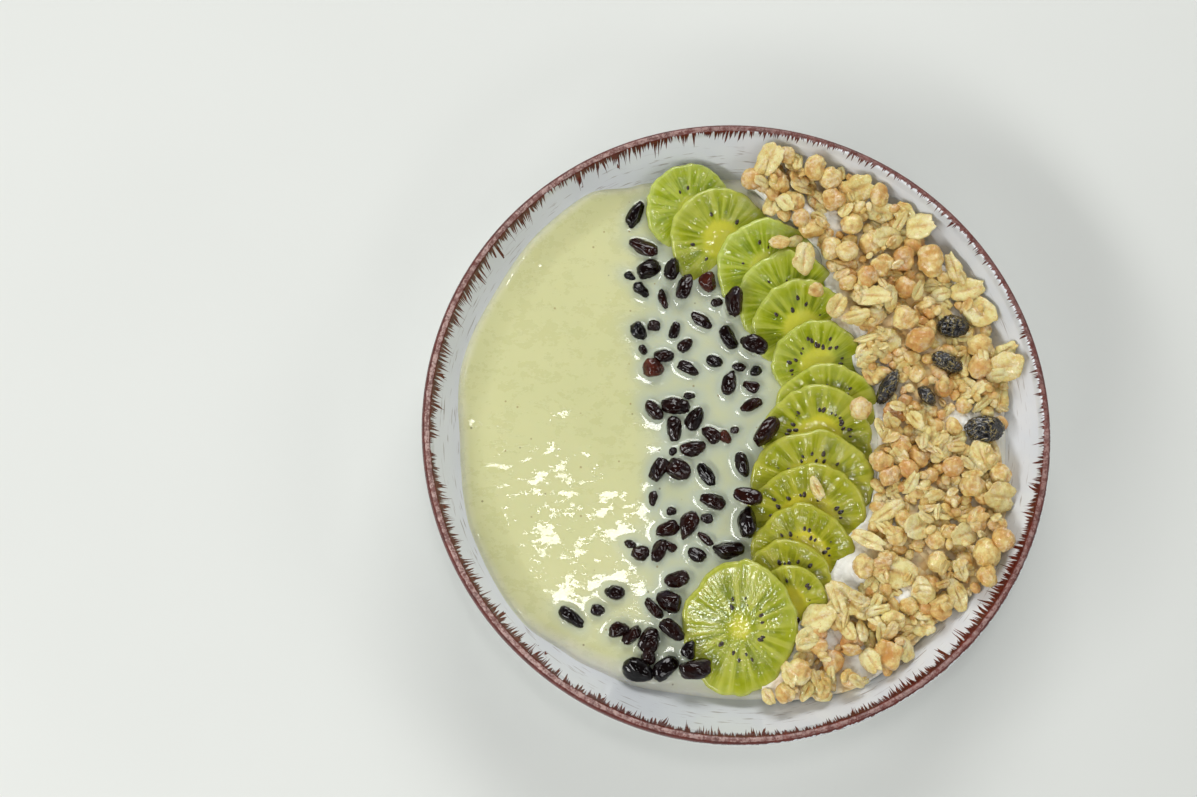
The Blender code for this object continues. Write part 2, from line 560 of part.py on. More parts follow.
def build_smoothie(parts, cutters, slices, big, small):
    """A filling cast to the bowl, with small berries fused on and sockets for the larger toppings."""
    stations = (45, 64, 77, 86, 92, 96.5)
    edge = stations[-1]
    profile = [(0.0, SMOOTHIE_LEVEL)] + [(r, SMOOTHIE_LEVEL) for r in (24, 46, 66, 82, 91, edge)]
    below = [(r, wall_height(r)) for r in reversed(stations)]
    material = make_material("smoothie", (203, 208, 156), 0.25)
    obj = turned("smoothie", profile + below + [(0.0, FLOOR_TOP)], parts, material)
    apply_modifiers(obj)
    for vert in obj.data.vertices:
        x, y, z = (value / MM for value in vert.co)
        radius = math.hypot(x, y)
        stretch = smoothie_edge(x, y) / edge
        on_top = z > SMOOTHIE_LEVEL - 0.001
        x, y, radius = x * stretch, y * stretch, radius * stretch
        z = smoothie_height(x, y) if on_top else clear_wall_height(radius)
        vert.co = Vector((x, y, z)) * MM
    obj.data.shade_flat()
    joined = make_collection("joined")
    for index, lump in enumerate(small):
        place_lump(f"small_{index:02d}", lump, SMALL_SEGMENTS, SMALL_RINGS, joined)
    boolean(obj, "UNION", joined)
    empty_collection(joined)
    for index, piece in enumerate(slices):
        as_cutter(place_slice(f"cut_slice_{index:02d}", piece, cutters, grow=GAP))
    for index, lump in enumerate(big):
        as_cutter(place_lump(f"cut_berry_{index:02d}", lump, BERRY_SEGMENTS, BERRY_RINGS, cutters, grow=GAP))
    boolean(obj, "DIFFERENCE", cutters)
    keep_largest(obj)
    return obj


def bank_core():
    """The granola's core: a loft of low domed sections along the bank."""
    bm = bmesh.new()
    sections = []
    first, last = BANK_INNER[0][0] + 0.01, BANK_INNER[-1][0] - 0.01
    for station in range(BANK_STATIONS):
        bearing = first + (last - first) * station / (BANK_STATIONS - 1)
        inner, outer = along(BANK_INNER, bearing), along(BANK_OUTER, bearing)
        turn = math.radians(bearing)
        section = []
        for across in (0.002, 0.12, 0.4, 0.7, 0.9, 0.998):
            radius = inner + (outer - inner) * across
            x, y = radius * math.cos(turn), radius * math.sin(turn)
            section.append((x, y, bank_height(x, y)))
        for radius in (outer, inner):
            section.append((radius * math.cos(turn), radius * math.sin(turn), SMOOTHIE_LEVEL - 1.0))
        sections.append([bm.verts.new(Vector(spot) * MM) for spot in section])
    for one, two in zip(sections, sections[1:]):
        for index in range(len(one)):
            after = (index + 1) % len(one)
            bm.faces.new((one[index], one[after], two[after], two[index]))
    bm.faces.new(list(reversed(sections[0])))
    bm.faces.new(sections[-1])
    bmesh.ops.recalc_face_normals(bm, faces=bm.faces)
    return mesh_from(bm, "granola")


def free_room(collection):
    """The space over the smoothie inside the bowl, GAP clear of both."""
    floor = SMOOTHIE_LEVEL + GAP
    side = [(radius, clear_wall_height(radius)) for radius in (104.0, 102.2, 100.6, 99.0, 97.5)]
    profile = [(0.0, 70.0), (104.0, 70.0)] + side + [(95.8, floor), (0.0, floor)]
    return turned("room", profile, collection)


def build_granola(parts, cutters, slices, raisins, grains):
    material = make_material("granola", (214, 184, 128), 0.7)
    obj = place("granola", bank_core(), parts, material)
    joined = make_collection("granola_pieces")
    for index, lump in enumerate(granola_pieces(slices, raisins + grains)):
        place_lump(f"piece_{index:03d}", lump, 5 if lump.half[1] < 3.6 else 6, 3, joined)
    boolean(obj, "UNION", joined)
    empty_collection(joined)
    room = make_collection("room")
    as_cutter(free_room(room))
    boolean(obj, "INTERSECT", room)
    for index, piece in enumerate(slices):
        as_cutter(place_slice(f"over_slice_{index:02d}", piece, cutters, grow=GAP))
    for index, lump in enumerate(raisins + grains):
        as_cutter(place_lump(f"cut_topping_{index:02d}", lump, 8, 4, cutters, grow=GAP))
    boolean(obj, "DIFFERENCE", cutters)
    keep_largest(obj)
    return obj


def main():
    for obj in list(bpy.data.objects):
        bpy.data.objects.remove(obj, do_unlink=True)
    parts = make_collection("smoothie_bowl")
    sockets = make_collection("socket_cutters")
    hollows = make_collection("granola_cutters")

    slices = kiwi_slices()
    big = berry_lumps(BERRIES, slices)
    small = berry_lumps(SMALL_BERRIES, slices)

    def on_bank(x, y):
        core = bank_height(x, y)
        return max(base_height(x, y, slices), core if core is not None else 0.0)

    raisins = [lying_on(row, RAISIN_HEIGHT, on_bank) for row in RAISINS]
    grains = [lying_on(row, height, lambda x, y: base_height(x, y, slices))
              for row, height in zip(GRAINS, GRAIN_HEIGHTS)]

    build_bowl(parts)
    build_smoothie(parts, sockets, slices, big, small)
    build_granola(parts, hollows, slices, raisins, grains)
    kiwi = make_material("kiwi", (150, 172, 52), 0.3)
    berry = make_material("berry", (38, 24, 28), 0.2)
    raisin = make_material("raisin", (34, 26, 24), 0.45)
    grain = make_material("oat", (226, 208, 160), 0.6)
    for index, piece in enumerate(slices, start=1):
        place_slice(f"kiwi_{index:02d}", piece, parts, kiwi)
    for index, lump in enumerate(big, start=1):
        place_lump(f"berry_{index:02d}", lump, BERRY_SEGMENTS, BERRY_RINGS, parts, berry)
    for index, lump in enumerate(raisins, start=1):
        place_lump(f"raisin_{index:02d}", lump, 8, 4, parts, raisin)
    for index, lump in enumerate(grains, start=1):
        place_lump(f"grain_{index:02d}", lump, 8, 4, parts, grain)
    empty_collection(sockets)
    empty_collection(hollows)
    for room in list(bpy.data.collections["room"].objects):
        bpy.data.objects.remove(room)


main()
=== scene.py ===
"""Looks for a smoothie bowl: glazed stoneware, smoothie, dark berries, kiwi slices and granola.

Tables and constants are millimetres, as in the part's own source, and MM turns them into metres.
Each visible piece stands where its CAD node does, at a higher resolution and with its material.
"""
import math
import random

import bmesh
import bpy
import numpy as np
from mathutils import Matrix, Vector


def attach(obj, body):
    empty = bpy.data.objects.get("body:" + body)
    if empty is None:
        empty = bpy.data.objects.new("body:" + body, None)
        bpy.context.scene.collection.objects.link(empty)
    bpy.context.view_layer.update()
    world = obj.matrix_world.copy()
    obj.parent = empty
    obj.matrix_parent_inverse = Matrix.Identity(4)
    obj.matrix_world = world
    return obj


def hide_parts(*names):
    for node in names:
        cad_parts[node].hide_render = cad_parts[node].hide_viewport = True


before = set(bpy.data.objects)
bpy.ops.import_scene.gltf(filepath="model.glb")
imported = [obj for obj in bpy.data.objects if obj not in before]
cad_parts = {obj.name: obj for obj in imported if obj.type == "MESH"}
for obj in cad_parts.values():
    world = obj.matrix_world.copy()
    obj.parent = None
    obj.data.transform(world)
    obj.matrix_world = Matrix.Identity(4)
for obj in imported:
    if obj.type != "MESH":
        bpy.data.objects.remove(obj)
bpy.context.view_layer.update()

MM = 0.001

# ---------------------------------------------------------------- sizes shared with the part, mm
RIM_RADIUS = 107.9
RIM_HEIGHT = 42.0
LIP_INNER_RADIUS = 104.5
LIP_INNER_HEIGHT = 40.6
CREST_RADIUS = 106.3
FLOOR_TOP = 8.5
FLOOR_UNDER = 3.5
WALL_POWER = 6.0
WALL_STATIONS = (0.0, 45.0, 64.0, 77.0, 86.0, 93.0, 98.5, 102.2, LIP_INNER_RADIUS)
OUTER_POWER = 5.0
OUTER_TOP_HEIGHT = 36.0
FOOT_OUTER_RADIUS = 62.0
FOOT_INNER_RADIUS = 56.0
GAP = 0.4

SMOOTHIE_LEVEL = 28.5
# edge of the smoothie on the wall: (bearing in degrees, radius)
SMOOTHIE_EDGE = ((0, 94.8), (60, 94.6), (98, 92.0), (111, 95.0), (121, 98.5), (132, 98.0),
                 (150, 96.5), (165, 97.2), (183, 94.8), (203, 97.2), (222, 98.5), (233, 95.8),
                 (243, 94.3), (262, 91.2), (285, 92.0), (315, 94.6), (360, 94.8))

KIWI_THICKNESS = 2.8
# one row per slice, top of the row first: x, y, half width, half height, tilt, downhill bearing
KIWIS = ((-14.5, 80.0, 16.0, 16.0, 18, -50), (-4.0, 69.0, 18.5, 18.5, 18, -50),
         (12.0, 58.0, 18.0, 18.0, 18, -58), (20.0, 46.5, 18.0, 18.0, 18, -65),
         (24.0, 36.5, 17.5, 17.5, 18, -72), (29.5, 23.5, 16.0, 16.0, 18, -80),
         (32.5, 8.0, 17.5, 16.0, 18, -88), (29.0, -2.5, 19.5, 18.5, 18, -93),
         (26.5, -19.0, 21.0, 19.5, 18, -96), (24.5, -30.5, 21.0, 18.5, 18, -98),
         (23.0, -44.0, 18.5, 18.0, 18, -101), (17.5, -53.0, 15.5, 15.0, 18, -104),
         (18.0, -59.5, 12.5, 12.5, 18, -110), (0.5, -68.5, 19.5, 23.0, 13, -135))

# berries: x, y, length, width, turn
BERRIES = ((-34.0, 78.0, 9.5, 4.5, 63), (-31.0, 66.0, 10.5, 5.0, -24), (-29.0, 58.0, 9.0, 6.0, 25),
           (-21.5, 57.0, 8.0, 5.5, 75), (-17.0, 51.0, 9.0, 5.0, 70), (0.0, 45.0, 10.0, 6.5, 90),
           (-28.0, 22.5, 7.5, 6.5, 0), (-1.5, 33.5, 8.0, 5.0, -60), (7.0, 30.0, 9.0, 6.0, -28),
           (-1.5, 17.0, 9.0, 5.5, 80), (-20.5, 9.0, 9.5, 6.0, -12), (-21.0, 1.0, 8.0, 5.5, 90),
           (-14.0, 4.5, 8.5, 5.5, 60), (10.5, -1.0, 11.0, 6.5, 50), (-15.0, -6.0, 9.5, 5.5, 3),
           (2.5, -11.5, 8.0, 5.0, -70), (-26.5, -13.5, 8.5, 5.5, 65), (-19.5, -13.0, 8.5, 7.0, -35),
           (-8.0, -24.5, 8.5, 5.0, -12), (3.5, -23.5, 9.5, 5.5, -12), (3.5, -32.0, 9.8, 6.5, 85),
           (-16.5, -33.0, 9.5, 6.0, 75), (-24.0, -34.5, 8.5, 5.0, 25), (-26.5, -41.5, 7.5, 5.0, 65),
           (-3.0, -41.5, 10.5, 6.0, 0), (-20.5, -51.5, 8.0, 5.5, 12), (-23.5, -59.0, 8.0, 7.0, -30),
           (-56.5, -64.5, 9.0, 5.0, -42), (-30.5, -72.5, 9.0, 7.5, 50), (-22.5, -69.0, 9.5, 5.5, -35),
           (-34.0, -82.5, 10.0, 7.0, -25), (-24.5, -81.5, 9.5, 6.0, 40), (-15.0, -82.0, 11.0, 6.5, 10))
SMALL_BERRIES = (
    (-36.0, 55.5, 4.0, 3.0, -30), (-32.0, 50.5, 6.0, 4.0, -50), (-24.5, 47.5, 7.0, 3.0, -75),
    (-8.5, 53.0, 6.5, 5.5, -60), (-5.3, 46.2, 4.0, 3.5, 0), (-11.0, 39.5, 8.0, 4.0, -33),
    (-33.0, 35.5, 6.5, 5.5, -50), (-28.0, 37.5, 4.5, 4.0, 0), (-20.5, 36.0, 5.5, 3.5, 75),
    (-17.0, 30.5, 6.0, 4.5, 35), (-31.5, 29.0, 3.5, 3.0, -40), (-24.5, 27.0, 6.5, 4.5, 0),
    (-16.0, 22.5, 7.5, 4.0, -22), (-6.5, 25.0, 5.5, 4.0, -20), (2.0, 23.0, 4.5, 3.0, -10),
    (8.0, 21.5, 4.0, 3.5, 0), (6.0, 16.0, 5.5, 4.0, -25), (6.0, 9.5, 7.5, 4.0, 25),
    (-15.5, 12.5, 4.0, 2.5, 0), (-28.0, 7.5, 7.5, 5.0, -50), (-8.0, -1.0, 7.0, 5.0, -40),
    (-3.5, -2.0, 5.0, 4.0, -50), (0.0, 0.5, 3.0, 2.5, 0), (-21.5, -7.0, 3.0, 2.5, 40),
    (-10.0, -15.0, 8.5, 4.5, -55), (-28.5, -23.5, 5.0, 3.0, 85), (-22.0, -28.0, 3.5, 3.0, 0),
    (-10.0, -30.5, 4.0, 3.5, 0), (-23.0, -40.0, 5.0, 3.0, -35), (-36.5, -39.5, 4.0, 3.0, -30),
    (-33.0, -42.5, 6.0, 5.0, -10), (-10.5, -37.5, 6.0, 3.0, -40), (-13.5, -43.0, 6.5, 4.5, -28),
    (-28.5, -61.5, 8.0, 4.0, -55), (-47.5, -62.0, 5.0, 4.0, -10), (-42.0, -56.0, 6.5, 5.0, -10),
    (-41.0, -68.5, 7.0, 4.5, 28), (-36.0, -70.5, 7.5, 4.5, 38), (-30.5, -78.0, 5.0, 5.0, 90),
    (-17.0, -76.0, 6.0, 5.0, -70))
BERRY_RISE = 0.6

# raisins and loose grains: x, y, length, width, turn
RAISINS = ((76.5, 36.5, 12.0, 8.5, 0), (74.0, 23.5, 12.0, 6.5, -25), (53.0, 14.5, 14.0, 6.0, 60),
           (66.5, 11.5, 8.5, 5.0, -50), (86.5, 0.0, 14.5, 9.5, 0))
RAISIN_HEIGHT = 5.0
GRAINS = ((16.0, 66.5, 8.5, 6.0, 15), (24.5, 59.5, 11.5, 8.0, 85), (28.5, 49.0, 6.5, 5.5, 0),
          (27.5, -21.0, 9.0, 4.0, -60), (43.0, 6.5, 9.0, 8.0, 0))
GRAIN_HEIGHTS = (4.0, 3.2, 4.0, 2.0, 6.5)
FLAT_GRAINS = (2, 4)        # the grains that are flakes, counted from 1
CHIP, CHIP_HEIGHT = (22.0, 67.5, 6.0, 4.5, 30), 3.4

# granola: a bank with its inner and outer edge given as (bearing in degrees, radius)
BANK_INNER = ((-85, 87.0), (-78, 80.0), (-70, 66.0), (-61, 60.0), (-44, 53.0), (-34, 54.0),
              (-22, 52.0), (-6, 50.0), (16, 49.0), (28, 48.0), (36, 50.0), (49, 51.0),
              (57, 61.0), (66, 73.0), (76, 79.0), (86, 88.0))
BANK_OUTER = ((-85, 92.0), (-77, 94.5), (-66, 97.0), (-46, 95.0), (-30, 98.5), (-18, 97.5),
              (-3, 92.5), (12, 97.5), (20, 96.0), (32, 98.0), (43, 94.5), (52, 97.0),
              (62, 99.5), (77, 99.5), (86, 93.5))
BANK_EDGE = 3.2
BANK_CROWN = 1.2
RAISED_EDGE = 32.6
PIECE_LIMIT = 102.4
PUFF_SINK, FLAKE_SINK = 1.9, 1.8
PUFF_PILE, FLAKE_PILE = 1.5, 3.2
FILL_SIZES = (7.0,)
FILL_TRIES = 300
# oat flakes: x, y, length, width, turn
FLAKES = (
    (13, 96.5, 12, 9, 60), (23, 88.5, 8.5, 5.5, 90), (47, 90, 12, 9, 20), (52, 77.5, 11.5, 6.5, -10),
    (62, 79, 9, 6.5, -40), (66, 72, 10, 9, 0), (54.5, 68, 12.5, 8, 20), (78, 57.5, 12, 5, -70),
    (71.5, 51.5, 12.5, 4, 5), (82, 49.5, 12, 8, 10), (86, 41.5, 12, 10, -50), (47.5, 46.5, 14, 7.5, -10),
    (32.5, 39, 9, 6.5, 60), (38, 35.5, 10, 5, 10), (53.5, 31, 10.5, 8.5, 40), (46.5, 29.5, 12, 5, 45),
    (77, 29.5, 10, 6.5, -25), (96.5, 28, 8.5, 5.5, 30), (94, 21.5, 12, 10, 0), (43.5, 23.5, 10, 5, 35),
    (52, 20.5, 12.5, 7.5, 60), (61.5, 16.5, 10.5, 8.5, 40), (66, 22.5, 11, 7.5, -30),
    (81, 14.5, 10.5, 6.5, -50), (86.5, 9.5, 9, 3.5, 40), (93, 11, 9, 5.5, 80), (50.5, -0.5, 8.5, 5, -60),
    (64.5, 1, 9.5, 6, 20), (71, -7, 11, 7, 60), (85, -9.5, 12, 9, -70), (90.5, -24, 11.5, 9.5, 0),
    (66, -21.5, 14, 4, -20), (50.5, -28.5, 15, 5.5, 35), (69.5, -29, 14, 5, -10),
    (61.5, -34.5, 11.5, 9.5, 30), (77.5, -37, 10.5, 7.5, 20), (53.5, -49.5, 15.5, 11.5, -20),
    (32.5, -53, 15, 8, -45),
    (24.5, -59, 12, 9.5, 20), (62.5, -56.5, 10, 7, -60), (75, -57.5, 11.5, 6, -70), (34, -62.5, 13.5, 4, -70),
    (63, -67.5, 9, 7.5, 0), (44, -79.5, 10, 6, -60), (27.5, -87, 7.5, 6, -60), (21.5, -69.5, 9, 7, 45),
    (42.5, -37, 13.5, 5.5, -25), (56, -76, 9, 7, -50), (22.5, -89.5, 8, 4, 60), (14.5, -76.5, 9, 4.5, -70))
FLAKE_HEIGHT = 2.6
# round puffs: x, y, diameter
PUFFS = (
    (7.5, 89.5, 9), (19.5, 100, 7), (17, 88.5, 8.5), (22, 81.5, 9), (29, 93.5, 9.5), (34.5, 89, 9),
    (35.5, 82, 9), (51.5, 83, 8.5), (28, 71.5, 9), (23.5, 74.5, 7), (44.5, 77.5, 8.5), (41.5, 73, 8.5),
    (34.5, 64.5, 8.5), (39.5, 63, 8.5), (49, 65.5, 10), (52, 58, 8.5), (47, 54, 8.5), (64.5, 66.5, 8.5),
    (59.5, 61, 9), (69, 59.5, 12), (60, 50, 9), (76.5, 44, 8.5), (49, 40, 8.5), (60, 39, 10),
    (64, 31.5, 10.5), (85.5, 29.5, 10), (85.5, 22, 9), (55, 5.5, 8.5), (61, 9.5, 7.5), (63, 6.5, 8.5),
    (72.5, 6.5, 8.5), (72.5, 14.5, 7.5), (45, -10.5, 8.5), (63, -9.5, 9), (66.5, -16.5, 7), (52.5, -16.5, 9),
    (81, -19.5, 10.5), (91.5, -16, 9), (74.5, -25, 7), (82.5, -32.5, 9), (90.5, -38.5, 9.5), (72.5, -37, 8),
    (67.5, -38.5, 7.5), (39.5, -44.5, 9), (77.5, -46, 7.5), (84.5, -44, 10.5), (84, -51.5, 8), (66, -54, 7.5),
    (69, -62.5, 8), (58, -61, 7), (41, -62.5, 8), (52, -66, 9.5), (38.5, -72.5, 9), (31.5, -80, 9),
    (26.5, -75, 7), (32.5, -66.5, 7), (19, -79.5, 9.5), (14, -86, 8), (37, -86, 7.5), (40.5, 85.5, 8),
    (40, 52, 7), (53, 48.5, 7.5), (68.5, 42, 6.5), (43, 40, 7.5), (70, 31.5, 8.5), (86.5, 14.5, 7),
    (79.5, 8.5, 6.5), (56.5, -6, 8.5), (79, -7.5, 6), (59, -14, 7.5), (75, -13.5, 8.5), (85, -24, 6),
    (57.5, -32, 8), (54.5, -37.5, 7.5), (89, -33.5, 7.5), (68, -45.5, 8), (46, -67.5, 5.5), (25.5, -66, 6),
    (50, -77.5, 9))

# ---------------------------------------------------------------- the photograph's camera
CAMERA_LENS = 60.0
CAMERA_SENSOR = 36.0
CAMERA_PLACE = (-68.2, -124.0, 709.6)
CAMERA_TILT = 11.395        # degrees off the vertical, without roll
CAMERA_SIDE = -98.8         # bearing of the side it leans to


# ---------------------------------------------------------------- shapes worked out from the sizes
def along(table, bearing):
    """The value of a (bearing, value) table at a bearing, eased between its rows."""
    if bearing <= table[0][0]:
        return table[0][1]
    for (start, low), (end, high) in zip(table, table[1:]):
        if bearing <= end:
            share = (bearing - start) / (end - start)
            share = share * share * (3 - 2 * share)
            return low + (high - low) * share
    return table[-1][1]


def bearing_of(x, y):
    return math.degrees(math.atan2(y, x))


def wall_curve(radius):
    """Height of the bowl's inner surface, as the smooth curve the part's stations follow."""
    share = min(radius, LIP_INNER_RADIUS) / LIP_INNER_RADIUS
    return FLOOR_TOP + (LIP_INNER_HEIGHT - FLOOR_TOP) * share ** WALL_POWER


def wall_height(radius):
    """Height of the part's inner surface at a radius, straight between the wall's stations."""
    radius = min(radius, LIP_INNER_RADIUS)
    for low, high in zip(WALL_STATIONS, WALL_STATIONS[1:]):
        if radius <= high:
            share = (radius - low) / (high - low)
            return wall_curve(low) * (1 - share) + wall_curve(high) * share


def clear_wall_height(radius):
    """The lowest height that keeps GAP to the inner wall, measured square to it."""
    slope = (wall_height(radius) - wall_height(radius - 2.0)) / 2.0
    return wall_height(radius) + GAP * math.hypot(1.0, slope)


def outside_height(radius):
    share = radius / RIM_RADIUS
    return FLOOR_UNDER + (OUTER_TOP_HEIGHT - FLOOR_UNDER) * share ** OUTER_POWER


def smoothie_edge(x, y):
    return along(SMOOTHIE_EDGE, bearing_of(x, y) % 360)


def smoothie_height(x, y):
    """Top of the smoothie: level in the middle, drawn up or down to its edge on the wall."""
    radius = math.hypot(x, y)
    edge = smoothie_edge(x, y)
    share = max(0.0, 1.0 - (edge - radius) / 12.0)
    share = share * share * (3 - 2 * share)
    open_side = min(1.0, max(0.0, -x / 45.0))
    swell = 0.45 * open_side * math.sin(x * 0.09 + 1.0) * math.cos(y * 0.07 - 0.6)
    edge_height = clear_wall_height(edge) + 0.7
    return (SMOOTHIE_LEVEL + swell) * (1 - share) + edge_height * share


def bank_height(x, y):
    """Top of the granola's core, or None beside it."""
    bearing, radius = bearing_of(x, y), math.hypot(x, y)
    inner, outer = along(BANK_INNER, bearing), along(BANK_OUTER, bearing)
    if not BANK_INNER[0][0] <= bearing <= BANK_INNER[-1][0] or not inner <= radius <= outer:
        return None
    across = (radius - inner) / (outer - inner)
    ends = min(1.0, (BANK_INNER[-1][0] + 9 - abs(bearing)) / 12.0)
    crown = (BANK_EDGE + BANK_CROWN * math.sin(math.pi * min(1.0, across * 1.3))) * ends
    return max(SMOOTHIE_LEVEL + GAP + crown, clear_wall_height(radius) + 2.6)


class Slice:
    """A tilted kiwi slice: its middle, its axes in its own plane and its heights."""

    def __init__(self, x, y, half_width, half_height, tilt, bearing):
        self.centre = Vector((x, y, SMOOTHIE_LEVEL + 0.6))
        self.half = (half_width, half_height)
        lean = Vector((math.cos(math.radians(bearing)), math.sin(math.radians(bearing)), 0.0))
        self.normal = (Vector((0, 0, math.cos(math.radians(tilt)))) + lean * math.sin(math.radians(tilt)))
        self.turn = Vector((0, 0, 1)).rotation_difference(self.normal)
        self.half_depth = KIWI_THICKNESS / 2 / self.normal.z

    def height(self, x, y, margin=1.0):
        """Height of the slice's middle plane over a point, or None farther beside it than a margin."""
        away_x, away_y = x - self.centre.x, y - self.centre.y
        rise = -(self.normal.x * away_x + self.normal.y * away_y) / self.normal.z
        flat = self.turn.inverted() @ Vector((away_x, away_y, rise))
        if (flat.x / (self.half[0] + margin)) ** 2 + (flat.y / (self.half[1] + margin)) ** 2 > 1:
            return None
        return self.centre.z + rise

    def lift_over(self, others):
        """Raise this slice until it lies on the slices below it, GAP clear."""
        steps = [i / 12.0 for i in range(-12, 13)]
        raise_by = 0.0
        for other in others:
            for u in steps:
                for v in steps:
                    x, y = self.centre.x + u * self.half[0], self.centre.y + v * self.half[1]
                    mine, theirs = self.height(x, y), other.height(x, y)
                    if mine is not None and theirs is not None:
                        need = theirs + other.half_depth + self.half_depth + GAP - mine
                        raise_by = max(raise_by, need)
        self.centre.z += raise_by


def kiwi_slices():
    slices = []
    for row in KIWIS:
        piece = Slice(*row)
        piece.lift_over(slices[-3:])
        slices.append(piece)
    return slices


class Lump:
    """A lying topping: an ellipsoid with a turn, sheared to lean with the ground under it."""

    def __init__(self, x, y, length, width, height, turn):
        self.centre = Vector((x, y, 0.0))
        self.half = (length / 2, width / 2, height / 2)
        self.turn = math.radians(turn)
        self.slope = (0.0, 0.0)

    def share(self, x, y, grow=0.0):
        """Squared distance from the middle, 1 on the outline grown by a margin."""
        away_x, away_y = x - self.centre.x, y - self.centre.y
        along_it = away_x * math.cos(self.turn) + away_y * math.sin(self.turn)
        across_it = away_y * math.cos(self.turn) - away_x * math.sin(self.turn)
        return (along_it / (self.half[0] + grow)) ** 2 + (across_it / (self.half[1] + grow)) ** 2

    def lean(self, x, y):
        return self.slope[0] * (x - self.centre.x) + self.slope[1] * (y - self.centre.y)

    def top(self, x, y):
        share = self.share(x, y)
        if share >= 1:
            return None
        return self.centre.z + self.lean(x, y) + self.half[2] * math.sqrt(1 - share)

    def spots(self):
        """Points over the lump's outline, each with the depth of its underside there."""
        for ring in (0.0, 0.4, 0.7, 0.9, 1.0):
            for step in range(12 if ring else 1):
                angle = math.tau * step / 12
                u, v = ring * self.half[0] * math.cos(angle), ring * self.half[1] * math.sin(angle)
                x = self.centre.x + u * math.cos(self.turn) - v * math.sin(self.turn)
                y = self.centre.y + u * math.sin(self.turn) + v * math.cos(self.turn)
                yield x, y, self.half[2] * math.sqrt(1 - ring * ring)

    def lie_along(self, ground, steepest=0.6):
        """Lean with the ground from one side of the lump to the other."""
        reach = 0.8 * self.half[1]
        slope_x = (ground(self.centre.x + reach, self.centre.y)
                   - ground(self.centre.x - reach, self.centre.y))
        slope_y = (ground(self.centre.x, self.centre.y + reach)
                   - ground(self.centre.x, self.centre.y - reach))
        size = math.hypot(slope_x, slope_y) / (2 * reach)
        scale = min(1.0, steepest / size) / (2 * reach) if size else 0.0
        self.slope = (slope_x * scale, slope_y * scale)

    def settle(self, ground):
        """Lower the lump until it touches the ground function anywhere under it."""
        self.centre.z = max(ground(x, y) + depth - self.lean(x, y) for x, y, depth in self.spots())


def slice_tops(x, y, slices, margin=1.0):
    middles = [(piece, piece.height(x, y, margin)) for piece in slices]
    return [middle + piece.half_depth for piece, middle in middles if middle is not None]


def base_height(x, y, slices):
    """The highest thing under a topping that isn't granola: smoothie, bowl wall or kiwi."""
    heights = [smoothie_height(x, y), clear_wall_height(math.hypot(x, y))]
    return max(heights + slice_tops(x, y, slices)) + GAP


def moved_clear(x, y, reach, slices):
    """A granola piece's middle, moved out beside the slices or in from the lip."""
    for _ in range(10):
        inner_side = 1.0 - 0.85 * reach / math.hypot(x, y)
        beside = slice_tops(x * inner_side, y * inner_side, slices)
        if slice_tops(x, y, slices) or max(beside, default=0.0) > RAISED_EDGE:
            x, y = x * 1.01, y * 1.01
    scale = min(1.0, (PIECE_LIMIT - reach) / math.hypot(x, y))
    return x * scale, y * scale


def granola_pieces(slices, toppings):
    """Puffs, flakes and small filling pieces, each settled on the bank and on those before it."""
    draw = random.Random(7)
    pieces = []

    def add(lump, sink, pile, kind):
        """Settle a piece clear of dish, smoothie and slices, pressed a little into the granola."""
        if any(topping.share(lump.centre.x, lump.centre.y, lump.half[1]) < 1 for topping in toppings):
            return
        reach = lump.half[0] + 8
        near = [piece for piece in pieces if (piece.centre - lump.centre).xy.length < reach]

        def bank(x, y):
            core = bank_height(x, y)
            return max(base_height(x, y, slices), core - sink if core is not None else 0.0)

        def ground(x, y):
            tops = [piece.top(x, y) for piece in near]
            return max([bank(x, y)] + [top - sink for top in tops if top is not None])

        if sink == FLAKE_SINK:
            lump.lie_along(ground)
        lump.settle(bank)
        highest = lump.centre.z + pile
        lump.settle(ground)
        lump.centre.z = min(lump.centre.z, highest)
        lump.kind = kind
        pieces.append(lump)

    for x, y, size in PUFFS:
        x, y = moved_clear(x, y, size / 2, slices)
        add(Lump(x, y, size * 1.06, size * 0.97, size * 0.88, draw.uniform(0, 180)),
            PUFF_SINK, PUFF_PILE, "puff")
    for x, y, length, width, turn in FLAKES:
        x, y = moved_clear(x, y, length / 2, slices)
        add(Lump(x, y, length, width, FLAKE_HEIGHT, turn), FLAKE_SINK, FLAKE_PILE, "flake")
    for size in FILL_SIZES:
        for _ in range(FILL_TRIES):
            bearing, radius = math.radians(draw.uniform(-80, 80)), draw.uniform(50.0, 100.0)
            x, y = radius * math.cos(bearing), radius * math.sin(bearing)
            lump = Lump(x, y, size * 1.1, size * 0.9, size * 0.7, draw.uniform(0, 180))
            apart = all(piece.share(x, y, size / 2 - 0.6) > 1 for piece in pieces)
            if bank_height(x, y) is not None and apart:
                add(lump, PUFF_SINK, PUFF_PILE, "fill")
    return pieces


def lying_on(row, height, ground):
    x, y, length, width, turn = row
    lump = Lump(x, y, length, width, height, turn)
    lump.lie_along(ground)
    lump.settle(ground)
    return lump


def berry_lumps(rows, slices, margin=1.0):
    """Berries lie half sunk in the smoothie, raised where they would meet a kiwi slice."""
    def on_slices(x, y):
        return max([height for height in slice_tops(x, y, slices, margin)], default=-1000.0) + GAP

    lumps = []
    for x, y, length, width, turn in rows:
        lump = Lump(x, y, length, width, width * 0.92, turn)
        lump.settle(on_slices)
        lump.centre.z = max(lump.centre.z, SMOOTHIE_LEVEL + BERRY_RISE)
        lumps.append(lump)
    return lumps


